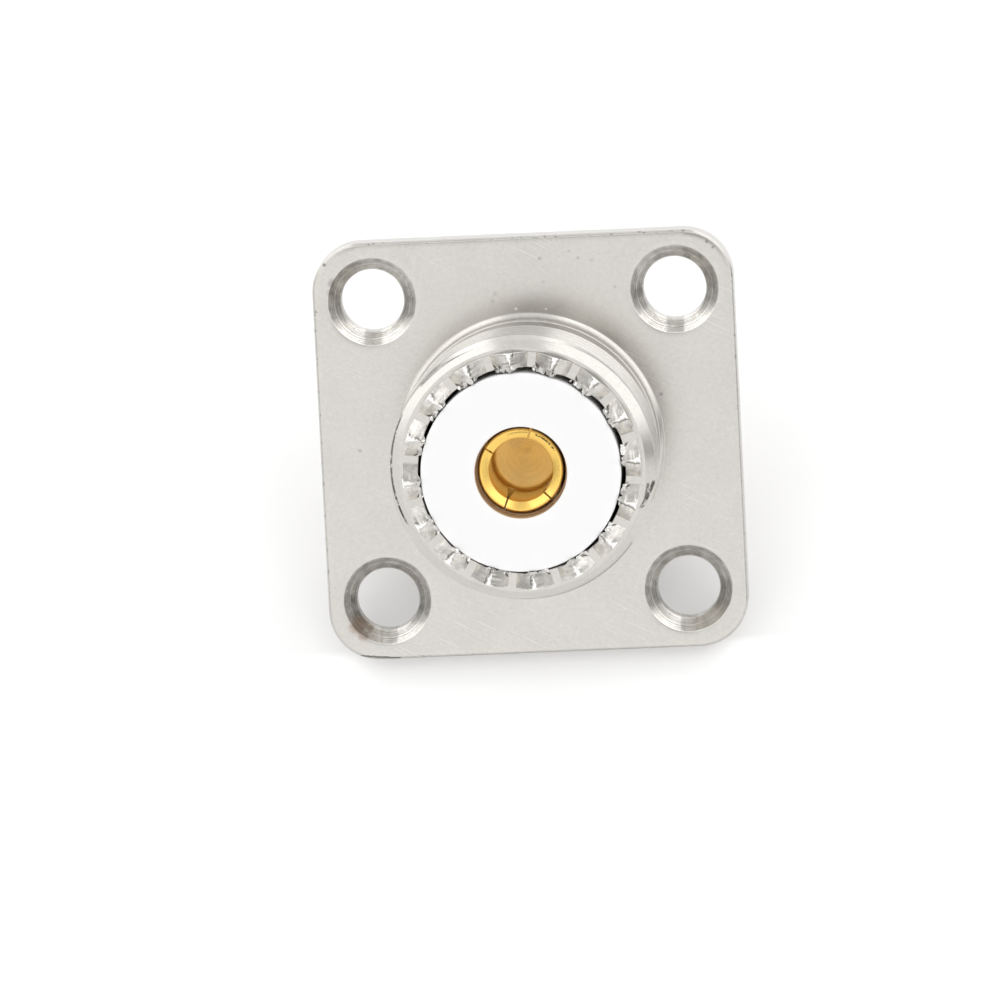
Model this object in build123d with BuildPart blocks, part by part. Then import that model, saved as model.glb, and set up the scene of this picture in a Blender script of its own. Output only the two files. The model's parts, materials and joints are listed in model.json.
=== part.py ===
from build123d import *
import os
from math import pi, radians, tan

# A flange-mounted coaxial jack. The origin is the centre of the flange's back
# face, and +Z runs along the axis out of the mating face. All sizes are in mm.

# Square mounting flange
HOLE_SPACING = 18.24
HOLE_EDGE_DISTANCE = 3.58
FLANGE_THICKNESS = 2.0
FLANGE_CORNER_RADIUS = 3.0
FLANGE_EDGE_RADIUS = 0.2
HOLE_DIAMETER = 3.8
SINK_WIDTH = 0.78
SINK_ANGLE = 90

# Threaded barrel, from the flange's front face to the tips of the teeth
BARREL_HEIGHT = 11.0
THREAD_DIAMETER = 15.8
THREAD_DEPTH = 0.65
BARREL_WALL = 1.73
BASE_BEAD_PROUD = 0.18
BASE_BEAD_HEIGHT = 0.35
BASE_BEAD_EDGE = 0.22
SHOULDER_HEIGHT = 1.6
SHOULDER_SETBACK = 0.09
SHOULDER_EDGE_BREAK = 0.12
RELIEF_WIDTH = 1.9
RIM_CHAMFER = 0.57
RIM_LAND = 0.23
CROWN_STEP = 0.1

# Serrated crown at the mating end
TOOTH_COUNT = 16
TOOTH_DEPTH = 0.75
VALLEY_WIDTH = 0.46
CREST_WIDTH = 0.12
VALLEY_ANGLE = 14.8

# Rear boss, which holds the insulators from behind
BOSS_LENGTH = 4.6
BOSS_WALL = 0.95
BOSS_EDGE_BREAK = 0.3
SEAT_DEPTH = 1.5
SEAT_STEP = 0.43
GROOVE_DEPTH = 0.4
LIP_LENGTH = 0.8

# Insulators
INSULATOR_GAP = 0.22
INSULATOR_RECESS = 0.15
INSULATOR_EDGE_BREAK = 0.12
SEAT_CLEARANCE = 0.03
REAR_DISC_THICKNESS = 1.5
REAR_HUB_DIAMETER = 8.0
REAR_HUB_LENGTH = 1.9

# Centre contact
PIN_DIAMETER = 3.96
SOCKET_PLAY = 0.04
SOCKET_WALL = 0.56
SOCKET_DEPTH = 5.3
SOCKET_CLEARANCE = 0.11
PETAL_CLOSING = 0.1
MOUTH_DEPTH = 0.25
MOUTH_LIP = 0.06
GRIP_LENGTH = 1.5
CONTACT_RECESS = 0.8
DRILL_POINT_ANGLE = 150
COLLAR_DIAMETER = 6.4
COLLAR_THICKNESS = 1.0
COLLAR_CLEARANCE = 0.04
SLOT_LENGTH = 5.0
SLOT_WIDTH = 0.5
SLOT_TIP_GAP = 0.1
SLOT_DIRECTIONS = (67.9, -40.0)
SLOT_OFFSETS = (0.15, -0.33)

# Solder cup at the contact's rear end
CUP_DIAMETER = 4.0
CUP_BORE = 2.9
CUP_DEPTH = 4.6
CUP_LENGTH = 5.75
CUP_MOUTH_LENGTH = 3.4
CUP_MOUTH_LEVEL = 0.1
CUP_CLEARANCE = 0.04

# Split retaining ring
RING_THICKNESS = 0.8
RING_WIDTH = 1.15
RING_CLEARANCE = 0.05
RING_GAP = 3.0

# Levels along the axis
FLANGE_FRONT = FLANGE_THICKNESS
TOOTH_TIP = FLANGE_FRONT + BARREL_HEIGHT
VALLEY_LEVEL = TOOTH_TIP - TOOTH_DEPTH
LAND_LEVEL = VALLEY_LEVEL - CROWN_STEP
INSULATOR_FRONT = TOOTH_TIP - INSULATOR_RECESS
CONTACT_FRONT = INSULATOR_FRONT - CONTACT_RECESS
SEAT_LEVEL = FLANGE_FRONT - SEAT_DEPTH
BOSS_END = -BOSS_LENGTH
GROOVE_REAR = BOSS_END + LIP_LENGTH
GROOVE_FRONT = GROOVE_REAR + RING_THICKNESS + RING_CLEARANCE
DISC_REAR = GROOVE_FRONT
DISC_FRONT = DISC_REAR + REAR_DISC_THICKNESS
HUB_REAR = DISC_REAR - REAR_HUB_LENGTH
CUP_END = HUB_REAR - CUP_LENGTH

# Radii
FLANGE_SIDE = HOLE_SPACING + 2 * HOLE_EDGE_DISTANCE
THREAD_RADIUS = THREAD_DIAMETER / 2
RELIEF_RADIUS = THREAD_RADIUS - THREAD_DEPTH
SHOULDER_RADIUS = THREAD_RADIUS - SHOULDER_SETBACK
BEAD_RADIUS = THREAD_RADIUS + BASE_BEAD_PROUD
BORE_RADIUS = THREAD_RADIUS - BARREL_WALL
CROWN_RADIUS = THREAD_RADIUS - RIM_CHAMFER - RIM_LAND
SEAT_RADIUS = BORE_RADIUS + SEAT_STEP
GROOVE_RADIUS = SEAT_RADIUS + GROOVE_DEPTH
BOSS_RADIUS = SEAT_RADIUS + BOSS_WALL
SLEEVE_RADIUS = BORE_RADIUS - INSULATOR_GAP
DISC_RADIUS = SEAT_RADIUS - SEAT_CLEARANCE
SOCKET_BORE_RADIUS = (PIN_DIAMETER + SOCKET_PLAY) / 2
SOCKET_RADIUS = SOCKET_BORE_RADIUS + SOCKET_WALL
CONTACT_HOLE_RADIUS = SOCKET_RADIUS + SOCKET_CLEARANCE
COLLAR_RADIUS = COLLAR_DIAMETER / 2
CUP_RADIUS = CUP_DIAMETER / 2


def make_tooth_valley():
    """One flat-bottomed valley of the crown, along +X from the axis outwards."""
    crown_middle = (BORE_RADIUS + CROWN_RADIUS) / 2
    pitch = 2 * pi * crown_middle / TOOTH_COUNT
    half_floor = VALLEY_WIDTH / 2
    flank_run = (pitch - VALLEY_WIDTH - CREST_WIDTH) / 2
    slope = flank_run / TOOTH_DEPTH
    above = TOOTH_DEPTH / 2
    half_top = half_floor + slope * (TOOTH_DEPTH + above)
    with BuildPart() as valley:
        with BuildSketch(Plane.YZ):
            with BuildLine():
                Polyline(
                    (-half_floor, VALLEY_LEVEL),
                    (half_floor, VALLEY_LEVEL),
                    (half_top, TOOTH_TIP + above),
                    (-half_top, TOOTH_TIP + above),
                    close=True,
                )
            make_face()
        extrude(amount=THREAD_RADIUS)
    return valley.part


def make_shell(valley):
    """Flange, threaded barrel and rear boss, turned and milled from one piece."""
    bead_front = FLANGE_FRONT + BASE_BEAD_HEIGHT
    relief_front = FLANGE_FRONT + SHOULDER_HEIGHT + RELIEF_WIDTH
    with BuildPart() as shell:
        with BuildSketch():
            RectangleRounded(FLANGE_SIDE, FLANGE_SIDE, FLANGE_CORNER_RADIUS)
        extrude(amount=FLANGE_THICKNESS)
        rims = shell.faces().filter_by(Axis.Z).edges()
        fillet(rims, FLANGE_EDGE_RADIUS)
        with Locations((0, 0, FLANGE_FRONT)):
            with GridLocations(HOLE_SPACING, HOLE_SPACING, 2, 2):
                CounterSinkHole(
                    radius=HOLE_DIAMETER / 2,
                    counter_sink_radius=HOLE_DIAMETER / 2 + SINK_WIDTH,
                    depth=FLANGE_THICKNESS,
                    counter_sink_angle=SINK_ANGLE,
                )
        with BuildSketch(Plane.XZ):
            with BuildLine():
                Polyline(
                    (0, 0),
                    (BEAD_RADIUS, 0),
                    (BEAD_RADIUS, bead_front - BASE_BEAD_EDGE),
                    (BEAD_RADIUS - BASE_BEAD_EDGE, bead_front),
                    (SHOULDER_RADIUS, bead_front),
                    (SHOULDER_RADIUS, FLANGE_FRONT + SHOULDER_HEIGHT - SHOULDER_EDGE_BREAK),
                    (SHOULDER_RADIUS - SHOULDER_EDGE_BREAK, FLANGE_FRONT + SHOULDER_HEIGHT),
                    (RELIEF_RADIUS, FLANGE_FRONT + SHOULDER_HEIGHT),
                    (RELIEF_RADIUS, relief_front),
                    (THREAD_RADIUS, relief_front + THREAD_DEPTH),
                    (THREAD_RADIUS, LAND_LEVEL - RIM_CHAMFER),
                    (THREAD_RADIUS - RIM_CHAMFER, LAND_LEVEL),
                    (CROWN_RADIUS, LAND_LEVEL),
                    (CROWN_RADIUS, TOOTH_TIP),
                    (0, TOOTH_TIP),
                    (0, 0),
                )
            make_face()
        revolve(axis=Axis.Z)
        with BuildSketch(Plane.XZ):
            with BuildLine():
                Polyline(
                    (0, FLANGE_FRONT / 2),
                    (BOSS_RADIUS, FLANGE_FRONT / 2),
                    (BOSS_RADIUS, BOSS_END + BOSS_EDGE_BREAK),
                    (BOSS_RADIUS - BOSS_EDGE_BREAK, BOSS_END),
                    (0, BOSS_END),
                    close=True,
                )
            make_face()
        revolve(axis=Axis.Z)
        with BuildSketch(Plane.XZ):
            with BuildLine():
                Polyline(
                    (0, BOSS_END),
                    (SEAT_RADIUS, BOSS_END),
                    (SEAT_RADIUS, GROOVE_REAR),
                    (GROOVE_RADIUS, GROOVE_REAR),
                    (GROOVE_RADIUS, GROOVE_FRONT),
                    (SEAT_RADIUS, GROOVE_FRONT),
                    (SEAT_RADIUS, SEAT_LEVEL),
                    (BORE_RADIUS, SEAT_LEVEL),
                    (BORE_RADIUS, TOOTH_TIP),
                    (0, TOOTH_TIP),
                    close=True,
                )
            make_face()
        revolve(axis=Axis.Z, mode=Mode.SUBTRACT)
        with PolarLocations(0, TOOTH_COUNT, start_angle=VALLEY_ANGLE):
            add(valley, mode=Mode.SUBTRACT)
    return shell.part


def make_front_insulator():
    """The sleeve round the socket, with its rear collar on the shell's seat."""
    pocket_radius = COLLAR_RADIUS + COLLAR_CLEARANCE
    pocket_front = DISC_FRONT + COLLAR_THICKNESS
    with BuildPart() as front_insulator:
        with BuildSketch(Plane.XZ):
            with BuildLine():
                Polyline(
                    (CONTACT_HOLE_RADIUS, pocket_front),
                    (pocket_radius, pocket_front),
                    (pocket_radius, DISC_FRONT),
                    (DISC_RADIUS, DISC_FRONT),
                    (DISC_RADIUS, SEAT_LEVEL),
                    (SLEEVE_RADIUS, SEAT_LEVEL),
                    (SLEEVE_RADIUS, INSULATOR_FRONT - INSULATOR_EDGE_BREAK),
                    (SLEEVE_RADIUS - INSULATOR_EDGE_BREAK, INSULATOR_FRONT),
                    (CONTACT_HOLE_RADIUS, INSULATOR_FRONT),
                    close=True,
                )
            make_face()
        revolve(axis=Axis.Z)
    return front_insulator.part


def make_rear_insulator():
    """The disc that closes the boss, with a hub round the solder cup."""
    hole_radius = CUP_RADIUS + CUP_CLEARANCE
    with BuildPart() as rear_insulator:
        with BuildSketch(Plane.XZ):
            with BuildLine():
                Polyline(
                    (hole_radius, DISC_FRONT),
                    (DISC_RADIUS, DISC_FRONT),
                    (DISC_RADIUS, DISC_REAR),
                    (REAR_HUB_DIAMETER / 2, DISC_REAR),
                    (REAR_HUB_DIAMETER / 2, HUB_REAR),
                    (hole_radius, HUB_REAR),
                    close=True,
                )
            make_face()
        revolve(axis=Axis.Z)
    return rear_insulator.part


def make_centre_contact():
    """Slotted socket, collar and solder cup, turned from one bar."""
    collar_front = DISC_FRONT + COLLAR_THICKNESS
    slot_root = CONTACT_FRONT - SLOT_LENGTH
    grip_front = CONTACT_FRONT - MOUTH_DEPTH
    floor_level = CONTACT_FRONT - SOCKET_DEPTH
    point_depth = SOCKET_BORE_RADIUS / tan(radians(DRILL_POINT_ANGLE / 2))
    tip_radius = SOCKET_RADIUS - PETAL_CLOSING
    tip_bore_radius = SOCKET_BORE_RADIUS - PETAL_CLOSING
    with BuildPart() as contact:
        with BuildSketch(Plane.XZ):
            with BuildLine():
                Polyline(
                    (0, CUP_END),
                    (CUP_RADIUS, CUP_END),
                    (CUP_RADIUS, DISC_FRONT),
                    (COLLAR_RADIUS, DISC_FRONT),
                    (COLLAR_RADIUS, collar_front),
                    (SOCKET_RADIUS, collar_front),
                    (SOCKET_RADIUS, slot_root),
                    (tip_radius, CONTACT_FRONT),
                    (tip_radius - MOUTH_LIP, CONTACT_FRONT),
                    (tip_bore_radius, grip_front),
                    (tip_bore_radius, grip_front - GRIP_LENGTH),
                    (SOCKET_BORE_RADIUS, slot_root),
                    (SOCKET_BORE_RADIUS, floor_level),
                    (0, floor_level - point_depth),
                    close=True,
                )
            make_face()
        revolve(axis=Axis.Z)
        with Locations((0, 0, CUP_END + CUP_DEPTH / 2)):
            Cylinder(CUP_BORE / 2, CUP_DEPTH, mode=Mode.SUBTRACT)
        for direction, offset in zip(SLOT_DIRECTIONS, SLOT_OFFSETS):
            saw_plane = Plane(Axis.Z.location).rotated((0, 0, direction))
            saw_plane = Plane(origin=(0, 0, 0), x_dir=saw_plane.y_dir, z_dir=saw_plane.x_dir)
            with BuildSketch(saw_plane):
                with BuildLine():
                    Polyline(
                        (offset - SLOT_WIDTH / 2, slot_root),
                        (offset + SLOT_WIDTH / 2, slot_root),
                        (offset + SLOT_TIP_GAP / 2, CONTACT_FRONT),
                        (offset - SLOT_TIP_GAP / 2, CONTACT_FRONT),
                        close=True,
                    )
                make_face()
            extrude(amount=COLLAR_RADIUS, both=True, mode=Mode.SUBTRACT)
        with BuildSketch(Plane.YZ):
            with BuildLine():
                Polyline(
                    (CUP_MOUTH_LEVEL, CUP_END),
                    (CUP_MOUTH_LEVEL, CUP_END + CUP_MOUTH_LENGTH - CUP_RADIUS),
                    (CUP_DIAMETER, CUP_END + CUP_MOUTH_LENGTH + CUP_RADIUS),
                    (CUP_DIAMETER, CUP_END),
                    close=True,
                )
            make_face()
        extrude(amount=CUP_DIAMETER, both=True, mode=Mode.SUBTRACT)
    return contact.part


def make_retaining_ring():
    """A flat split ring, sprung into the groove behind the rear insulator."""
    outer_radius = GROOVE_RADIUS - RING_CLEARANCE
    inner_radius = outer_radius - RING_WIDTH
    with BuildPart() as ring:
        with BuildSketch(Plane.XY.offset(GROOVE_REAR + RING_CLEARANCE)):
            Circle(outer_radius)
            Circle(inner_radius, mode=Mode.SUBTRACT)
            with Locations((0, -outer_radius)):
                Rectangle(RING_GAP, 2 * RING_WIDTH + RING_GAP, mode=Mode.SUBTRACT)
        extrude(amount=RING_THICKNESS)
    return ring.part


shell = make_shell(make_tooth_valley())
shell.label = "shell"
front_insulator = make_front_insulator()
front_insulator.label = "front_insulator"
rear_insulator = make_rear_insulator()
rear_insulator.label = "rear_insulator"
centre_contact = make_centre_contact()
centre_contact.label = "centre_contact"
retaining_ring = make_retaining_ring()
retaining_ring.label = "retaining_ring"

os.makedirs("parts", exist_ok=True)
for piece in (shell, front_insulator, rear_insulator, centre_contact, retaining_ring):
    export_step(piece, f"parts/{piece.label}.step")
    print(piece.label, round(piece.volume, 2), piece.is_valid)
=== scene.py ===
import json
import logging
import math
from dataclasses import dataclass, field
from enum import Enum
from functools import reduce

import bmesh
import bpy
import numpy as np
from mathutils import Matrix, Vector
from mathutils.geometry import delaunay_2d_cdt


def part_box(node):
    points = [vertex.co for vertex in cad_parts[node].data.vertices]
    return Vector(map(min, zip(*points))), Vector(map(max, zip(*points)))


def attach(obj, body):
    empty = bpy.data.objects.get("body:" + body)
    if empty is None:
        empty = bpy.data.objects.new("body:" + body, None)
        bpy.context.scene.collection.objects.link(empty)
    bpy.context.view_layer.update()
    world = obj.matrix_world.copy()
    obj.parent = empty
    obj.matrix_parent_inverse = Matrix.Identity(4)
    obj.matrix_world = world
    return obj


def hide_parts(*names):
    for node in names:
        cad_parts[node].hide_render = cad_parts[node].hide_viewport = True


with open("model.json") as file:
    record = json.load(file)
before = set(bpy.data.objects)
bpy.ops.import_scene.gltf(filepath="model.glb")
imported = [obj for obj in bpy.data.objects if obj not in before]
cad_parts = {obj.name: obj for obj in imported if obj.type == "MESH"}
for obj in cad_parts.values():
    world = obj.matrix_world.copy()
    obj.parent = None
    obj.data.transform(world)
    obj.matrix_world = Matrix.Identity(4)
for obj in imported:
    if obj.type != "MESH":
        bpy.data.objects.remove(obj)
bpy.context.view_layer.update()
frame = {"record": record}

MM = 0.001
TURN = 2 * math.pi
WELD_DISTANCE = 2e-7
LOG = logging.getLogger("uhf_panel_jack")


class Slot(Enum):
    """The record's material slots."""

    SHELL = "plated_shell"
    INSULATOR = "white_insulator"
    CONTACT = "gold_contact"
    RING = "spring_ring"


def stated_mount(name: str) -> dict:
    """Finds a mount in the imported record.

    Args:
        name: the mount's name.

    Returns:
        The mount, with its sizes under "dims", in millimetres.
    """
    return next(m for m in frame["record"]["mounts"] if m["name"] == name)


def node_levels(node: str) -> tuple[float, float]:
    """Gives a CAD node's lowest and highest level along the axis, in millimetres.

    Args:
        node: the node's name.

    Returns:
        The two levels.
    """
    low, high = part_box(node)
    return low.z / MM, high.z / MM


def soften(corners: list[tuple[float, float, float]], steps: int = 4, closed: bool = False) -> np.ndarray:
    """Rounds the corners of a profile with true arcs.

    Each arc touches both sides of its corner: its centre lies on the corner's bisector, at the
    radius divided by the sine of half the corner's angle, and its points turn evenly about it.

    Args:
        corners: one (across, along, radius) for each corner, in millimetres.
        steps: segments in each arc.
        closed: whether the last corner joins the first.

    Returns:
        The profile's points, one (across, along) a row.
    """
    place = np.array([c[:2] for c in corners], float)
    count = len(corners)
    out = []
    for k, (_, _, radius) in enumerate(corners):
        at_end = not closed and k in (0, count - 1)
        if radius <= 0 or at_end:
            out.append(place[k][None, :])
            continue
        to_last = place[(k - 1) % count] - place[k]
        to_next = place[(k + 1) % count] - place[k]
        to_last /= np.linalg.norm(to_last)
        to_next /= np.linalg.norm(to_next)
        half = math.acos(np.clip(to_last @ to_next, -1, 1)) / 2
        reach = radius / math.tan(half)
        bisector = (to_last + to_next) / np.linalg.norm(to_last + to_next)
        centre = place[k] + bisector * radius / math.sin(half)
        start = place[k] + to_last * reach - centre
        end = place[k] + to_next * reach - centre
        turned = math.atan2(start[0] * end[1] - start[1] * end[0], start @ end)
        angle = np.linspace(0, turned, steps + 1)[:, None]
        across = np.array([-start[1], start[0]])
        out.append(centre + np.cos(angle) * start + np.sin(angle) * across)
    return np.vstack(out)


def polar(radius: np.ndarray | float, angle: np.ndarray, level: np.ndarray | float) -> np.ndarray:
    """Places points about the Z axis: x = r cos a, y = r sin a, z = level."""
    return np.stack(np.broadcast_arrays(radius * np.cos(angle), radius * np.sin(angle), level), axis=-1)


def circle(radius: float, angles: np.ndarray) -> np.ndarray:
    """Draws a circle about the Z axis as (x, y) rows."""
    return polar(radius, angles, 0.0)[:, :2]


def lifted(flat: np.ndarray, level: float) -> np.ndarray:
    """Lifts (x, y) rows to a level."""
    return np.column_stack([flat, np.full(len(flat), level)])


def slope(value: np.ndarray, start: float, width: float) -> np.ndarray:
    """Goes straight from 0 at the start to 1 at the start plus the width."""
    return np.clip((value - start) / width, 0, 1)


def lathe(profile: np.ndarray, angles: np.ndarray, centre: tuple[float, float] = (0, 0)) -> np.ndarray:
    """Turns a profile about an axis parallel to Z.

    Args:
        profile: (radius, level) rows.
        angles: the angle of each column, in radians.
        centre: where the axis stands.

    Returns:
        Points as rows by columns by three.
    """
    return polar(profile[:, :1], angles, profile[:, 1:]) + np.array([*centre, 0])


def even_angles(count: int, start: float = 0.0) -> np.ndarray:
    """Gives evenly spaced angles round a full turn, the last short of the first."""
    return start + np.arange(count) * TURN / count


def inside(points: np.ndarray, loop: np.ndarray) -> np.ndarray:
    """Tells which points lie inside a closed outline, by counting the sides to their right.

    Args:
        points: (x, y) rows.
        loop: the outline's (x, y) rows.

    Returns:
        One truth value for each point.
    """
    after = np.roll(loop, -1, axis=0)
    x, y = points[:, :1], points[:, 1:]
    spans = (loop[:, 1] > y) != (after[:, 1] > y)
    rise = after[:, 1] - loop[:, 1]
    share = (y - loop[:, 1]) / np.where(rise == 0, 1, rise)
    crossing = loop[:, 0] + share * (after[:, 0] - loop[:, 0])
    return (spans & (crossing > x)).sum(1) % 2 == 1


@dataclass(frozen=True)
class Lean:
    """How far a middle piece stands aside at its front; lengths in millimetres."""

    shift: tuple[float, float]
    foot: float = 0.5
    head: float = 12.85

    def apply(self, points: np.ndarray) -> np.ndarray:
        """Moves points aside in step with their level: none at the foot, all at the head.

        Args:
            points: three numbers a row.

        Returns:
            The moved points.
        """
        share = np.clip((points[:, 2:] - self.foot) / (self.head - self.foot), 0, 1)
        return points + share * np.array([*self.shift, 0])


@dataclass
class Patchwork:
    """A closed surface gathered from patches and welded into one mesh, in millimetres."""

    points: list[np.ndarray] = field(default_factory=list)
    faces: list[list] = field(default_factory=list)
    count: int = 0

    def add(self, points: np.ndarray, faces: np.ndarray) -> None:
        """Takes in one patch.

        Args:
            points: its points, three numbers a row.
            faces: its faces, numbered from its own first point.
        """
        self.points.append(points.reshape(-1, 3))
        self.faces.append((faces + self.count).tolist())
        self.count += len(self.points[-1])

    def grid(self, points: np.ndarray, wrap: bool = True) -> None:
        """Takes in a grid of quads. Columns that run to the right and rows that run up face out.

        Args:
            points: rows by columns by three.
            wrap: whether the last column joins the first.
        """
        rows, columns = points.shape[:2]
        row = np.arange(rows - 1)[:, None] * columns
        column = np.arange(columns if wrap else columns - 1)[None, :]
        following = (column + 1) % columns
        quads = np.stack([row + column, row + following, row + columns + following, row + columns + column], -1)
        self.add(points, quads.reshape(-1, 4))

    def plate(self, loops: list[np.ndarray], level: float, upwards: bool) -> None:
        """Fills the flat region inside the first loop and outside the others.

        Args:
            loops: closed outlines as (x, y) rows, the outer one first.
            level: the region's height.
            upwards: whether the region faces up.
        """
        flat = np.vstack(loops)
        starts = np.cumsum([0] + [len(loop) for loop in loops])
        rings = [np.arange(a, b) for a, b in zip(starts[:-1], starts[1:])]
        edges = np.vstack([np.stack([ring, np.roll(ring, -1)], -1) for ring in rings])
        filled = delaunay_2d_cdt(flat.tolist(), edges.tolist(), [], 1, 1e-7)
        points = np.array([tuple(v) for v in filled[0]])
        triangles = np.array([tuple(f) for f in filled[2]])
        middle = points[triangles].mean(1)
        keep = inside(middle, loops[0])
        for loop in loops[1:]:
            keep &= ~inside(middle, loop)
        triangles = triangles[keep]
        a, b, c = (points[triangles[:, k]] for k in range(3))
        turn = (b - a)[:, 0] * (c - a)[:, 1] - (b - a)[:, 1] * (c - a)[:, 0]
        wrong = (turn < 0) if upwards else (turn > 0)
        triangles[wrong] = triangles[wrong][:, ::-1]
        self.add(lifted(points, level), triangles)

    def polygon(self, points: np.ndarray) -> None:
        """Takes in one flat face, its corners anticlockwise seen from outside."""
        self.add(points, np.arange(len(points))[None, :])

    def tip(self, lean: Lean) -> None:
        """Leans everything gathered so far."""
        self.points = [lean.apply(patch) for patch in self.points]

    def build(self, name: str, smooth_angle: float = 38.0) -> bpy.types.Object:
        """Welds the patches into a mesh object.

        Args:
            name: the object's name.
            smooth_angle: edges that turn by more than this many degrees stay sharp.

        Returns:
            The object, at the origin and in metres.
        """
        mesh = bpy.data.meshes.new(name)
        everything = [face for patch in self.faces for face in patch]
        mesh.from_pydata((np.vstack(self.points) * MM).tolist(), [], everything)
        work = bmesh.new()
        work.from_mesh(mesh)
        bmesh.ops.remove_doubles(work, verts=work.verts, dist=WELD_DISTANCE)
        bmesh.ops.dissolve_degenerate(work, edges=work.edges, dist=WELD_DISTANCE)
        work.to_mesh(mesh)
        loose = sum(1 for edge in work.edges if len(edge.link_faces) != 2)
        work.free()
        mesh.polygons.foreach_set("use_smooth", np.ones(len(mesh.polygons), bool))
        mesh.set_sharp_from_angle(angle=math.radians(smooth_angle))
        mesh.update()
        piece = bpy.data.objects.new(name, mesh)
        bpy.context.scene.collection.objects.link(piece)
        # Large flat faces keep their own direction beside small rounded edges.
        piece.modifiers.new("weighted normals", "WEIGHTED_NORMAL").keep_sharp = True
        LOG.info("%s: %d faces, %d open edges", name, len(mesh.polygons), loose)
        return piece


def dress(piece: bpy.types.Object, material: bpy.types.Material, node: str) -> None:
    """Gives a piece its finish, its place on the body and the CAD node it stands for.

    Args:
        piece: the mesh object.
        material: its finish.
        node: the CAD node that the piece replaces.
    """
    piece.data.materials.clear()
    piece.data.materials.append(material)
    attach(piece, "root")
    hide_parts(node)
    LOG.info("%s stands for %s", piece.name, node)


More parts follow.
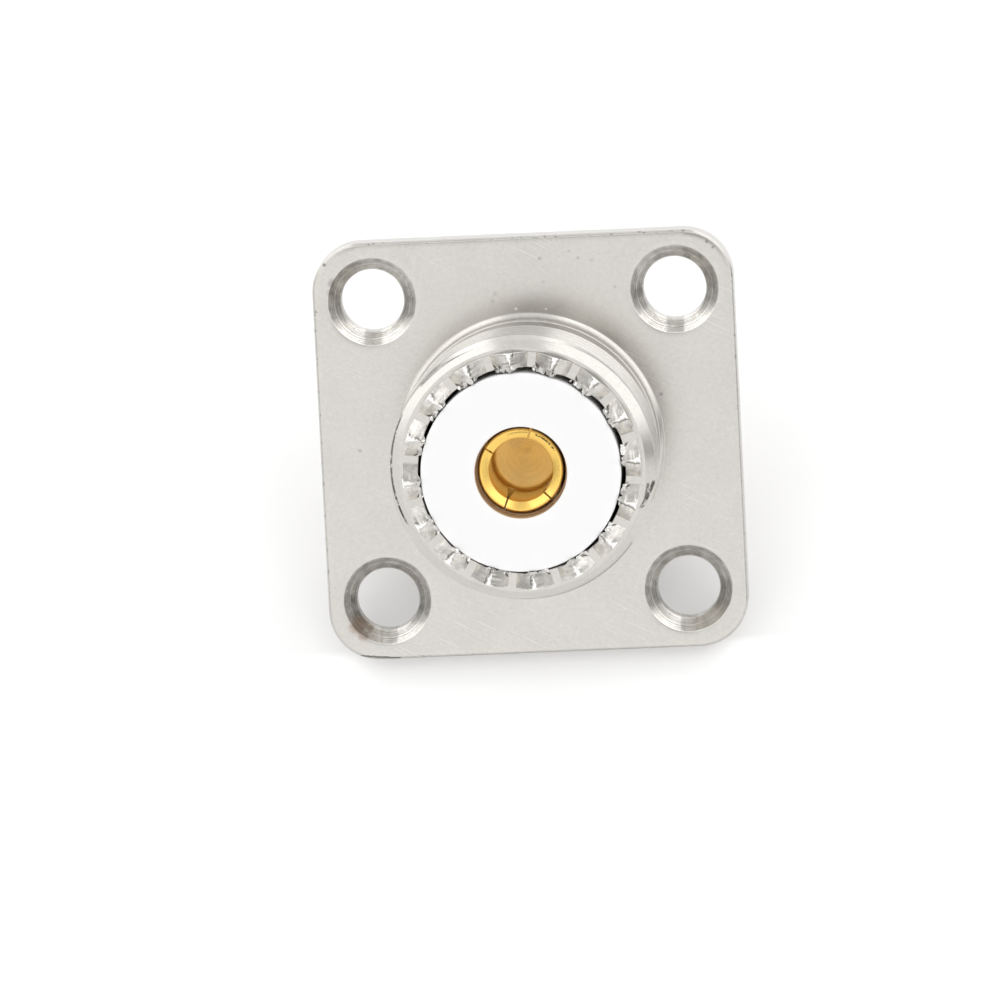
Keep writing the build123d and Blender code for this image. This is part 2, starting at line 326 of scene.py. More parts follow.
@dataclass
class Shell:
    """The plated shell: flange, barrel, serrated crown and rear boss, in millimetres."""

    spacing: float
    hole_radius: float
    thread_radius: float
    side: float
    tip: float
    end: float
    flange_front: float = 2.0
    corner_radius: float = 3.0
    flange_edge: float = 0.2
    flat_strip: float = 0.45
    sink_width: float = 0.78
    sink_edge: float = 0.11
    bead_proud: float = 0.18
    bead_height: float = 0.35
    bead_edge: float = 0.22
    shoulder_height: float = 1.6
    shoulder_setback: float = 0.09
    shoulder_edge: float = 0.07
    relief_width: float = 1.9
    thread_depth: float = 0.65
    thread_pitch: float = 25.4 / 24
    thread_start: float = 0.05
    thread_ramp: float = 0.5
    thread_phase: float = 0.2
    thread_angle: float = 60.0
    thread_crest_edge: float = 0.055
    thread_root_edge: float = 0.07
    rim_chamfer: float = 0.57
    rim_land: float = 0.23
    crown_step: float = 0.1
    crown_edge: float = 0.03
    crown_bevel: float = 0.02
    lip: float = 0.19
    lip_side: float = 0.35
    lip_bearing: float = 58.0
    lip_drop: float = 0.1
    lip_span: tuple[float, float] = (0.34, 0.90)
    lip_notch: float = 0.615
    notch_half: float = 0.012
    clear_height: float = 0.16
    clear_reach: float = 0.1
    teeth: int = 16
    tooth_depth: float = 0.75
    valley_width: float = 0.46
    crest_width: float = 0.09
    tooth_edge: float = 0.05
    valley_angle: float = 14.8
    wall: float = 1.73
    seat_depth: float = 1.5
    seat_step: float = 0.43
    boss_wall: float = 0.95
    boss_edge: float = 0.3
    groove_depth: float = 0.4
    groove_width: float = 0.85
    lip_length: float = 0.8
    columns: int = 192
    hole_columns: int = 72
    tooth_columns: int = 31
    tooth_rows: int = 20
    wobble: float = 0.035
    crumb_size: float = 0.13
    seed: int = 7

    def __post_init__(self) -> None:
        """Works out the radii and levels that follow from the sizes."""
        self.bore = self.thread_radius - self.wall
        self.crown = self.thread_radius - self.rim_chamfer - self.rim_land
        self.relief = self.thread_radius - self.thread_depth
        self.bead = self.thread_radius + self.bead_proud
        self.seat = self.bore + self.seat_step
        self.boss = self.seat + self.boss_wall
        self.valley_level = self.tip - self.tooth_depth
        self.land_level = self.valley_level - self.crown_step
        self.relief_front = self.flange_front + self.shoulder_height + self.relief_width

    def tooth_profile(self) -> np.ndarray:
        """Draws one valley of the crown across its own direction, from crest to crest.

        Returns:
            (distance from the valley's middle line, level) rows, corners rounded.
        """
        middle = (self.bore + self.crown) / 2
        pitch = TURN * middle / self.teeth
        floor = self.valley_width / 2
        run = (pitch - self.valley_width - self.crest_width) / 2
        widest = self.crown * math.sin(TURN / self.teeth / 2)
        section = soften([
            (-widest, self.tip, 0),
            (-floor - run, self.tip, self.tooth_edge),
            (-floor, self.valley_level, self.tooth_edge),
            (floor, self.valley_level, self.tooth_edge),
            (floor + run, self.tip, self.tooth_edge),
            (widest, self.tip, 0),
        ], steps=3)
        extra = np.linspace(-floor - run, floor + run, self.tooth_columns)
        across = np.union1d(np.round(section[:, 0], 6), np.round(extra, 6))
        return np.column_stack([across, np.interp(across, section[:, 0], section[:, 1])])

    def crown_columns(self, radius: np.ndarray) -> tuple[np.ndarray, np.ndarray]:
        """Places the crown's columns at each radius.

        A valley keeps its section all the way out, so a point at distance t from its middle line
        stands at the angle asin(t / r) from it, and t stops half way to the next valley.

        Args:
            radius: the radius of each row.

        Returns:
            The angle and the level of each row and column.
        """
        profile = self.tooth_profile()
        r = radius[:, None]
        half = r * math.sin(TURN / self.teeth / 2)
        t = np.clip(profile[None, :, 0], -half, half)
        level = np.interp(t, profile[:, 0], profile[:, 1])
        middle = even_angles(self.teeth, math.radians(self.valley_angle))
        angle = middle[None, :, None] + np.arcsin(t / r)[:, None, :]
        level = np.broadcast_to(level[:, None, :], angle.shape)
        return angle.reshape(len(radius), -1), level.reshape(len(radius), -1)

    def ragged(self, radius: np.ndarray, angle: np.ndarray, level: np.ndarray) -> np.ndarray:
        """Lets the crests waver sideways, as the cutter's burrs leave them.

        The shift is a sum of two sines of the radius whose phases turn with the angle, and grows
        with the height above the valley's floor.

        Args:
            radius: each row's radius.
            angle: each point's angle.
            level: each point's level.

        Returns:
            The shifted angles.
        """
        height = (level - self.valley_level) / self.tooth_depth
        r = radius[:, None]
        wave = np.sin(9 * r + 3 * np.sin(5 * angle)) + 0.6 * np.sin(23 * r + 7 * np.sin(3 * angle + 1))
        return angle + self.wobble * np.clip(height, 0, 1) ** 3 * wave / r

    def lip_reach(self, angle: np.ndarray, level: np.ndarray) -> np.ndarray:
        """Tells how far the cutter pushed metal over the bore's edge.

        The lip starts beside each crest, has a notch, and covers the flank that follows, up to
        the next floor. It reaches further on the side where the gap is wide, and where it stands
        clear above the insulator.

        Args:
            angle: each column's angle.
            level: each column's level.

        Returns:
            The reach of each column.
        """
        pitch = TURN / self.teeth
        share = ((angle - math.radians(self.valley_angle)) / pitch) % 1
        up = slope(share, self.lip_span[0], 0.05)
        down = slope(-share, -self.lip_span[1], 0.04)
        notch = slope(np.abs(share - self.lip_notch), self.notch_half, self.notch_half)
        side = 1 + self.lip_side * np.cos(angle - math.radians(self.lip_bearing))
        torn = 0.78 + 0.22 * np.sin(61 * angle + 2 * np.sin(7 * angle)) * np.sin(23 * angle)
        clear = slope(level - self.tip, -self.clear_height, 0.05)
        return up * down * notch * side * (self.lip * torn + self.clear_reach * clear * torn ** 3)

    def crown_surface(self, work: Patchwork) -> np.ndarray:
        """Adds the crown from its outer foot over the teeth to the bore.

        Args:
            work: the patchwork to add to.

        Returns:
            The outer foot's outline, for the flat land round it.
        """
        edge = self.crown_edge
        bevel = self.crown_bevel
        middle = np.linspace(self.crown - bevel, self.bore + edge, self.tooth_rows)
        outer = np.array([self.crown, self.crown, self.crown - bevel / 2])
        radius = np.concatenate([outer, middle, [self.bore, self.bore, self.bore]])
        foot = self.valley_level - self.land_level
        drop = np.concatenate([[0, bevel, bevel / 2], 0 * middle, [edge, self.lip_drop, self.lip_drop * 1.3]])
        angle, level = self.crown_columns(radius)
        angle[1:] = self.ragged(radius[1:], angle[1:], level[1:])
        height = np.clip((level - self.valley_level) / foot, 0, 1)
        height[len(outer):] = 1
        level = level - drop[:, None] * height
        level[0] = self.land_level
        radius = np.repeat(radius[:, None], angle.shape[1], 1)
        lip = self.lip_reach(angle[-1], level[-3])
        radius[-3] -= lip
        radius[-2] -= lip * 0.8
        points = polar(radius, angle, level)
        work.grid(points)
        self.inner_angles = angle[-1]
        self.inner_levels = level[-1]
        return points[0, :, :2]

    def crumbs(self, work: Patchwork) -> None:
        """Adds the small bent burrs that hang over the gap at the teeth's inner ends.

        Each burr is a ball flattened by its own three sizes, dented by sines of its own angles.

        Args:
            work: the patchwork to add to.
        """
        chance = np.random.default_rng(self.seed)
        crest = math.radians(self.valley_angle) + (np.arange(self.teeth) + 0.5) * TURN / self.teeth
        beside = crest + 0.36 * TURN / self.teeth
        angle = np.concatenate([crest, crest, beside, beside]) + chance.normal(0, 0.02, 4 * self.teeth)
        count = len(angle)
        low = np.repeat([0.0, 0.0, 0.28, 0.42], self.teeth)
        reach = self.bore + chance.uniform(-0.10, 0.06, count) + np.where(low > 0, 0.04, 0)
        level = self.tip - 0.05 - low - np.abs(chance.normal(0, 0.05, count))
        size = self.crumb_size * chance.uniform(0.5, 1.1, (count, 1, 1, 1)) * np.array([1.0, 0.8, 0.35])
        fall = np.linspace(0, math.pi, 7)[:, None]
        turn = even_angles(9)[None, :]
        ball = polar(np.sin(fall), turn, np.cos(fall))
        phase = chance.uniform(0, TURN, (count, 2, 1, 1))
        dent = 1 + 0.35 * np.sin(2 * turn + phase[:, 0]) * np.sin(fall) + 0.25 * np.sin(3 * fall + phase[:, 1])
        shape = ball[None] * dent[..., None] * size
        lean = chance.uniform(-0.9, 0.9, (count, 1, 1))
        x, y, z = shape[..., 0], shape[..., 1], shape[..., 2]
        y, z = y * np.cos(lean) - z * np.sin(lean), y * np.sin(lean) + z * np.cos(lean)
        along = reach[:, None, None] + x
        a = angle[:, None, None]
        place = np.stack([along * np.cos(a) - y * np.sin(a), along * np.sin(a) + y * np.cos(a),
                          z + level[:, None, None]], -1)
        place[..., 2] = np.minimum(place[..., 2], self.tip - 0.001)
        for burr in place:
            work.grid(burr[::-1])

    def thread_surface(self, work: Patchwork) -> None:
        """Adds the right-hand thread, from the relief to the land.

        Rows follow the helix: a row at turn w has the level base + pitch (w + a / full turn). Its
        radius comes from the thread's section at w, made shallower where the groove starts, and
        is held inside the tapered run-out at the back and the chamfer at the front.

        Args:
            work: the patchwork to add to.
        """
        crest = self.thread_pitch / 8
        flank = self.thread_depth * math.tan(math.radians(self.thread_angle / 2))
        root = self.thread_pitch - crest - 2 * flank
        section = soften([
            (-self.thread_pitch / 2, 0, 0),
            (-root / 2 - flank, 0, self.thread_crest_edge),
            (-root / 2, self.thread_depth, self.thread_root_edge),
            (root / 2, self.thread_depth, self.thread_root_edge),
            (root / 2 + flank, 0, self.thread_crest_edge),
            (self.thread_pitch / 2, 0, 0),
        ], steps=3)[:-1]
        low, high = self.relief_front, self.land_level
        turns = math.ceil((high - low) / self.thread_pitch) + 2
        number = np.arange(-1, turns)
        groove = np.repeat(number, len(section))
        offset = np.tile(section[:, 0], len(number))
        depth = np.tile(section[:, 1], len(number))
        angle = np.linspace(0, TURN, self.columns + 1)
        advance = self.thread_pitch * (angle / TURN + self.thread_phase)
        middle = low + groove[:, None] * self.thread_pitch + advance[None, :] - self.thread_pitch
        level = np.clip(middle + offset[:, None], low, high)
        ramp = np.clip((high - self.rim_chamfer - self.thread_start - middle) / self.thread_ramp, 0, 1)
        radius = self.thread_radius - depth[:, None] * ramp * ramp * (3 - 2 * ramp)
        radius = np.minimum(radius, self.relief + (level - low))
        radius = np.minimum(radius, self.thread_radius - self.rim_chamfer + (high - level))
        work.grid(polar(radius, angle, level), wrap=False)

    def barrel_foot(self, work: Patchwork) -> None:
        """Adds the bead, the plain shoulder and the thread relief above the flange.

        Args:
            work: the patchwork to add to.
        """
        front = self.flange_front
        shoulder = self.thread_radius - self.shoulder_setback
        profile = soften([
            (self.bead, front, 0),
            (self.bead, front + self.bead_height - self.bead_edge, 0.04),
            (self.bead - self.bead_edge, front + self.bead_height, 0.03),
            (shoulder, front + self.bead_height, 0.02),
            (shoulder, front + self.shoulder_height, self.shoulder_edge),
            (self.relief, front + self.shoulder_height, 0.1),
            (self.relief, self.relief_front, 0),
        ])
        work.grid(lathe(profile, even_angles(self.columns)))

    def outline(self, inset: float) -> np.ndarray:
        """Draws the flange's rounded square.

        Args:
            inset: how far inside the true edge.

        Returns:
            (x, y) rows, anticlockwise.
        """
        half = self.side / 2 - self.corner_radius
        radius = self.corner_radius - inset
        quarter = np.linspace(0, TURN / 4, 13)
        start = np.arange(4)[:, None] * TURN / 4
        angle = start + quarter[None, :]
        corner = start + TURN / 8
        x = half * math.sqrt(2) * np.cos(corner) + radius * np.cos(angle)
        y = half * math.sqrt(2) * np.sin(corner) + radius * np.sin(angle)
        return np.column_stack([x.ravel(), y.ravel()])

    def flange_surface(self, work: Patchwork) -> None:
        """Adds the plate's rim, its countersunk holes and both flat faces.

        The rim and the holes bring a flat strip of even faces with them, so that the shading of
        their rounded edges stays beside them.

        Args:
            work: the patchwork to add to.
        """
        rim = soften([
            (self.flat_strip, 0, 0),
            (0, 0, self.flange_edge),
            (0, self.flange_front, self.flange_edge),
            (self.flat_strip, self.flange_front, 0),
        ])
        loops = [self.outline(inset) for inset in rim[:, 0]]
        work.grid(np.stack([lifted(loop, level) for loop, level in zip(loops, rim[:, 1])]))
        sink = self.hole_radius + self.sink_width
        edge = self.sink_edge
        strip = 3 * edge
        hole = soften([
            (sink + strip, self.flange_front, 0),
            (sink, self.flange_front, edge),
            (self.hole_radius, self.flange_front - self.sink_width, edge),
            (self.hole_radius, 0, edge),
            (self.hole_radius + strip, 0, 0),
        ])
        angles = even_angles(self.hole_columns)
        half = self.spacing / 2
        centres = [(half, half), (-half, half), (-half, -half), (half, -half)]
        rings = [lathe(hole, angles, centre) for centre in centres]
        for ring in rings:
            work.grid(ring)
        foot = circle(self.bead, even_angles(self.columns))
        boss = circle(self.boss, self.inner_angles)
        work.plate([loops[-1], *(ring[0, :, :2] for ring in rings), foot], self.flange_front, True)
        work.plate([loops[0], *(ring[-1, :, :2] for ring in rings), boss], 0.0, False)

    def bore_and_boss(self, work: Patchwork) -> None:
        """Adds the inside from the teeth down to the rear lip, and the boss's outside.

        Args:
            work: the patchwork to add to.
        """
        seat_level = self.flange_front - self.seat_depth
        groove_rear = self.end + self.lip_length
        groove_front = groove_rear + self.groove_width
        groove = self.seat + self.groove_depth
        profile = soften([
            (self.bore, self.valley_level - 0.5, 0),
            (self.bore, seat_level, 0),
            (self.seat, seat_level, 0),
            (self.seat, groove_front, 0),
            (groove, groove_front, 0),
            (groove, groove_rear, 0),
            (self.seat, groove_rear, 0),
            (self.seat, self.end, 0.08),
            (self.boss, self.end, self.boss_edge),
            (self.boss, 0, 0),
        ])
        wall = polar(self.bore, self.inner_angles, self.inner_levels)
        work.grid(np.concatenate([wall[None], lathe(profile, self.inner_angles)]))

    def make(self) -> bpy.types.Object:
        """Builds the whole shell as one closed surface.

        Returns:
            The mesh object.
        """
        work = Patchwork()
        foot = self.crown_surface(work)
        self.thread_surface(work)
        self.barrel_foot(work)
        rim = circle(self.thread_radius - self.rim_chamfer, even_angles(self.columns))
        work.plate([rim, foot], self.land_level, True)
        self.bore_and_boss(work)
        self.flange_surface(work)
        self.crumbs(work)
        return work.build("shell_body")


@dataclass
class Insulator:
    """A white insulator, turned about the axis; sizes in millimetres."""

    name: str
    rear: float
    front: float
    wide: float
    lean: Lean = Lean(shift=(0.0, 0.0))
    columns: int = 144

    def corners(self) -> list[tuple[float, float, float]]:
        """Gives the section's corners as (radius, level, rounding); each kind has its own."""
        raise NotImplementedError

    def make(self) -> bpy.types.Object:
        """Turns the section given by the corners.

        Returns:
            The mesh object.
        """
        profile = soften(self.corners(), closed=True)
        work = Patchwork()
        work.grid(lathe(np.vstack([profile, profile[:1]]), even_angles(self.columns)))
        work.tip(self.lean)
        return work.build(self.name)


@dataclass
class FrontInsulator(Insulator):
    """The sleeve round the socket, with a wide foot that the shell's seat holds."""

    mouth: float = 2.745
    mouth_depth: float = 1.1
    mouth_edge: float = 0.06
    hole: float = 2.62
    hole_edge: float = 0.03
    pocket: float = 3.24
    pocket_depth: float = 1.0
    foot_width: float = 0.62
    foot_level: float = 0.5
    rim_edge: float = 0.12

    def corners(self) -> list[tuple[float, float, float]]:
        """Gives the sleeve's section, from the mouth of its hole round to its face's rim.

        Returns:
            One (radius, level, rounding) for each corner.
        """
        neck = self.front - self.mouth_depth
        pocket_floor = self.rear + self.pocket_depth
        wall = self.wide - self.foot_width
        return [
            (self.mouth, self.front, self.mouth_edge),
            (self.mouth, neck, self.hole_edge),
            (self.hole, neck, self.hole_edge),
            (self.hole, pocket_floor, 0),
            (self.pocket, pocket_floor, 0),
            (self.pocket, self.rear, 0),
            (self.wide, self.rear, 0),
            (self.wide, self.foot_level, 0),
            (wall, self.foot_level, 0),
            (wall, self.front, self.rim_edge),
        ]


@dataclass
class RearInsulator(Insulator):
    """The disc behind the contact's collar, with a hub round the solder cup."""

    hole: float = 2.04
    hole_edge: float = 0.1
    hub: float = 4.0
    hub_length: float = 1.9
    hub_edge: float = 0.15
    disc_edge: float = 0.05

    def corners(self) -> list[tuple[float, float, float]]:
        """Gives the disc's section, from the front of its hole round to its front's rim.

        Returns:
            One (radius, level, rounding) for each corner.
        """
        step = self.rear + self.hub_length
        return [
            (self.hole, self.front, 0),
            (self.hole, self.rear, self.hole_edge),
            (self.hub, self.rear, self.hub_edge),
            (self.hub, step, self.disc_edge),
            (self.wide, step, self.disc_edge),
            (self.wide, self.front, 0),
        ]


@dataclass
class CentreContact:
    """The gilt contact: a slotted socket in front, a solder cup behind; sizes in millimetres."""

    front: float
    end: float
    collar_radius: float
    cup_bore: float
    cup_depth: float
    grip_radius: float
    grip_length: float
    bore: float = 2.0
    wall: float = 0.56
    closing: float = 0.05
    depth: float = 5.3
    point_angle: float = 150.0
    mouth_depth: float = 0.25
    mouth_lip: float = 0.06
    tip_land: float = 0.11
    slot_length: float = 5.0
    slot_width: float = 0.5
    slot_tip_gap: float = 0.1
    slot_directions: tuple[float, float] = (69.1, -40.0)
    slot_offsets: tuple[float, float] = (0.21, -0.235)
    collar_rear: float = -1.45
    collar_thickness: float = 1.0
    cup_radius: float = 2.0
    cup_mouth: float = 3.4
    cup_mouth_level: float = 0.1
    mouth_columns: int = 25
    petal_columns: int = 22
    lean: Lean = Lean(shift=(-0.09, -0.05))

    def __post_init__(self) -> None:
        """Works out the levels that follow from the sizes."""
        self.root = self.front - self.slot_length
        self.outside = self.bore + self.wall

    def slot_edges(self, radius: np.ndarray, width: np.ndarray) -> tuple[np.ndarray, np.ndarray]:
        """Finds where the four slot ends cut a circle.

        A saw cut with the direction d and the offset o leaves the points whose distance from its
        middle plane, r sin(a - d), is o plus or minus half its width.

        Args:
            radius: the circle's radius, one for each row.
            width: the cut's width, one for each row.

        Returns:
            The angle before and the angle after each slot, rows by four, rising.
        """
        before, after = [], []
        for direction, offset in zip(self.slot_directions, self.slot_offsets):
            near = np.arcsin((offset - width / 2) / radius)
            far = np.arcsin((offset + width / 2) / radius)
            turned = math.radians(direction)
            before += [turned + near, turned + math.pi - far]
            after += [turned + far, turned + math.pi - near]
        before, after = np.stack(before, -1), np.stack(after, -1)
        order = np.argsort(before[0])
        return before[:, order], after[:, order]

    def columns(self, radius: np.ndarray, width: np.ndarray) -> np.ndarray:
        """Spreads columns over each slot and the petal that follows it.

        Args:
            radius: the radius of each row.
            width: the slot's width at each row.

        Returns:
            Angles, rows by four sectors by columns; a sector starts with its slot's four.
        """
        before, after = self.slot_edges(radius, width)
        following = np.roll(before, -1, axis=1) + np.array([0, 0, 0, TURN])
        slot = before[..., None] + (after - before)[..., None] * np.linspace(0, 1, 4)
        petal = after[..., None] + (following - after)[..., None] * np.linspace(0, 1, self.petal_columns + 2)
        return np.concatenate([slot, petal[..., 1:]], -1)

    def petals(self, work: Patchwork) -> None:
        """Adds the four sprung petals with their sawn faces and the slots' floors.

        Args:
            work: the patchwork to add to.
        """
        tip = self.outside - self.closing
        grip = self.front - self.mouth_depth
        profile = soften([
            (self.outside, self.root, 0),
            (tip, self.front, 0.1),
            (tip - self.tip_land - self.mouth_lip, self.front, 0.02),
            (self.grip_radius, grip, 0.06),
            (self.grip_radius, grip - self.grip_length, 0.3),
            (self.bore, self.root, 0),
        ])
        share = (profile[:, 1] - self.root) / self.slot_length
        width = self.slot_width + (self.slot_tip_gap - self.slot_width) * share
        angle = self.columns(profile[:, 0], width)
        points = polar(profile[:, 0, None, None], angle, profile[:, 1, None, None])
        for sector in range(4):
            petal = points[:, sector, 3:]
            work.grid(petal, wrap=False)
            work.polygon(petal[:, 0])
            work.polygon(petal[::-1, -1])
            work.grid(points[[0, -1], sector, :4], wrap=False)

    def body(self, work: Patchwork) -> None:
        """Adds the tube behind the slots, its drilled floor and the collar.

        Args:
            work: the patchwork to add to.
        """
        collar_front = self.collar_rear + self.collar_thickness
        full = np.array([self.slot_width])
        outer_angles = self.columns(np.array([self.outside]), full)[0, :, :-1].ravel()
        outer = soften([
            (self.collar_radius, self.collar_rear, 0),
            (self.collar_radius, collar_front, 0.08),
            (self.outside, collar_front, 0.1),
            (self.outside, self.root, 0),
        ])
        work.grid(lathe(outer, outer_angles))
        inner_angles = self.columns(np.array([self.bore]), full)[0, :, :-1].ravel()
        floor = self.front - self.depth
        point = self.bore / math.tan(math.radians(self.point_angle / 2))
        inner = soften([
            (self.bore, self.root, 0),
            (self.bore, floor, 0.35),
            (0, floor - point, 0),
        ])
        rings = np.linspace(inner[-2], inner[-1], 9)[1:]
        work.grid(lathe(np.vstack([inner[:-1], rings]), inner_angles))
        self.rim = circle(self.collar_radius, outer_angles)

    def cup_angles(self, radius: float) -> np.ndarray:
        """Spreads columns round the cup so that two stand at the mouth's edges.

        Args:
            radius: the wall's radius.

        Returns:
            The angles: the mouth's first, then those round the back, two fewer.
        """
        edge = math.asin(self.cup_mouth_level / radius)
        mouth = np.linspace(edge, math.pi - edge, self.mouth_columns)
        back = np.linspace(math.pi - edge, TURN + edge, self.mouth_columns)[1:-1]
        return np.concatenate([mouth, back])

    def cup_wall(self, radius: float) -> tuple[np.ndarray, np.ndarray]:
        """Finds the wall's end at each column, where the oblique mouth leaves it.

        The mouth's slope rises from its foot by the distance from the axis plane, over the run
        from the foot to the cup's far side.

        Args:
            radius: the wall's radius.

        Returns:
            The columns' angles and the wall's end levels.
        """
        angle = self.cup_angles(radius)
        reach = np.maximum(radius * np.sin(angle) - self.cup_mouth_level, 0)
        foot = self.end + self.cup_mouth - self.cup_radius
        run = 2 * self.cup_radius
        return angle, foot + reach * run / (run - self.cup_mouth_level)

    def cup(self, work: Patchwork) -> None:
        """Adds the shank and the solder cup.

        Args:
            work: the patchwork to add to.
        """
        outer_angle, outer_end = self.cup_wall(self.cup_radius)
        inner_angle, inner_end = self.cup_wall(self.cup_bore)
        floor = self.end + self.cup_depth
        start = polar(self.cup_radius, outer_angle, self.collar_rear)
        outer = polar(self.cup_radius, outer_angle, outer_end)
        inner = polar(self.cup_bore, inner_angle, inner_end)
        base = polar(self.cup_bore, inner_angle, floor)
        centre = polar(0.0, inner_angle, floor)
        work.grid(np.stack([centre, base, inner]))
        work.grid(np.stack([outer, start]))
        last = self.mouth_columns - 1
        back = np.r_[last:2 * last, 0]
        far_outer = polar(self.cup_radius, outer_angle, self.end)
        far_inner = polar(self.cup_bore, inner_angle, self.end)
        work.grid(np.stack([inner[back], far_inner[back], far_outer[back], outer[back]]), wrap=False)
        work.grid(np.stack([inner[:last + 1], outer[:last + 1]]), wrap=False)
        work.polygon(np.stack([outer[0], far_outer[0], far_inner[0], inner[0]]))
        work.polygon(np.stack([inner[last], far_inner[last], far_outer[last], outer[last]]))
        work.plate([self.rim, start[:, :2]], self.collar_rear, False)

    def make(self) -> bpy.types.Object:
        """Builds the contact as one closed surface.

        Returns:
            The mesh object.
        """
        work = Patchwork()
        self.petals(work)
        self.body(work)
        self.cup(work)
        work.tip(self.lean)
        return work.build("contact_body", smooth_angle=30)


@dataclass
class RetainingRing:
    """The flat split ring in the boss's groove; sizes in millimetres."""

    rear: float
    front: float
    outer: float
    width: float = 1.15
    gap: float = 3.0
    edge: float = 0.06
    columns: int = 120

    def make(self) -> bpy.types.Object:
        """Sweeps the ring's section from one side of the gap to the other.

        Returns:
            The mesh object.
        """
        inner = self.outer - self.width
        section = soften([
            (inner, self.front, self.edge),
            (inner, self.rear, self.edge),
            (self.outer, self.rear, self.edge),
            (self.outer, self.front, self.edge),
        ], closed=True)
        section = np.vstack([section, section[:1]])
        cut = np.arcsin(self.gap / 2 / section[:, :1])
        share = np.linspace(0, 1, self.columns)
        angle = -math.pi / 2 + cut + (TURN - 2 * cut) * share
        points = polar(section[:, :1], angle, section[:, 1:])
        work = Patchwork()
        work.grid(points, wrap=False)
        work.polygon(points[:-1, 0])
        work.polygon(points[-2::-1, -1])
        return work.build("ring_body")


class Value:
    """A socket of a shader tree that formulas can use like a number."""

    def __init__(self, web: "NodeWeb", socket: bpy.types.NodeSocket) -> None:
        """Keeps the socket and the web that it belongs to."""
        self.web = web
        self.socket = socket

    def __add__(self, other: "Value | float") -> "Value":
        """Gives the sum."""
        return self.web.math("ADD", self, other)

    def __sub__(self, other: "Value | float") -> "Value":
        """Gives the difference."""
        return self.web.math("SUBTRACT", self, other)

    def __rsub__(self, other: float) -> "Value":
        """Gives what is left of a number."""
        return self.web.math("SUBTRACT", other, self)

    def __mul__(self, other: "Value | float") -> "Value":
        """Gives the product."""
        return self.web.math("MULTIPLY", self, other)

    def __truediv__(self, other: float) -> "Value":
        """Gives the quotient."""
        return self.web.math("DIVIDE", self, other)

    def larger(self, other: "Value | float") -> "Value":
        """Gives the larger of two values."""
        return self.web.math("MAXIMUM", self, other)

    def wrap(self, half: float) -> "Value":
        """Brings the value between minus half and half by whole steps."""
        return self.web.math("WRAP", self, half, -half)

    def clamp(self) -> "Value":
        """Holds the value between 0 and 1."""
        return self.web.value("ShaderNodeClamp", {"Value": self})

    def rise(self, low: "Value | float", high: float) -> "Value":
        """Goes smoothly from 0 to 1 while the value goes from low to high."""
        inputs = {"Value": self, "From Min": low, "From Max": high}
        return self.web.value("ShaderNodeMapRange", inputs, interpolation_type="SMOOTHSTEP")

    def fall(self, low: float, high: float) -> "Value":
        """Goes smoothly from 1 to 0 while the value goes from low to high."""
        return 1.0 - self.rise(low, high)

    def window(self, low: float, high: float, soft: float) -> "Value":
        """Is 1 while the value lies between low and high, with soft ends outside them."""
        return self.rise(low - soft, low) * self.fall(high, high + soft)


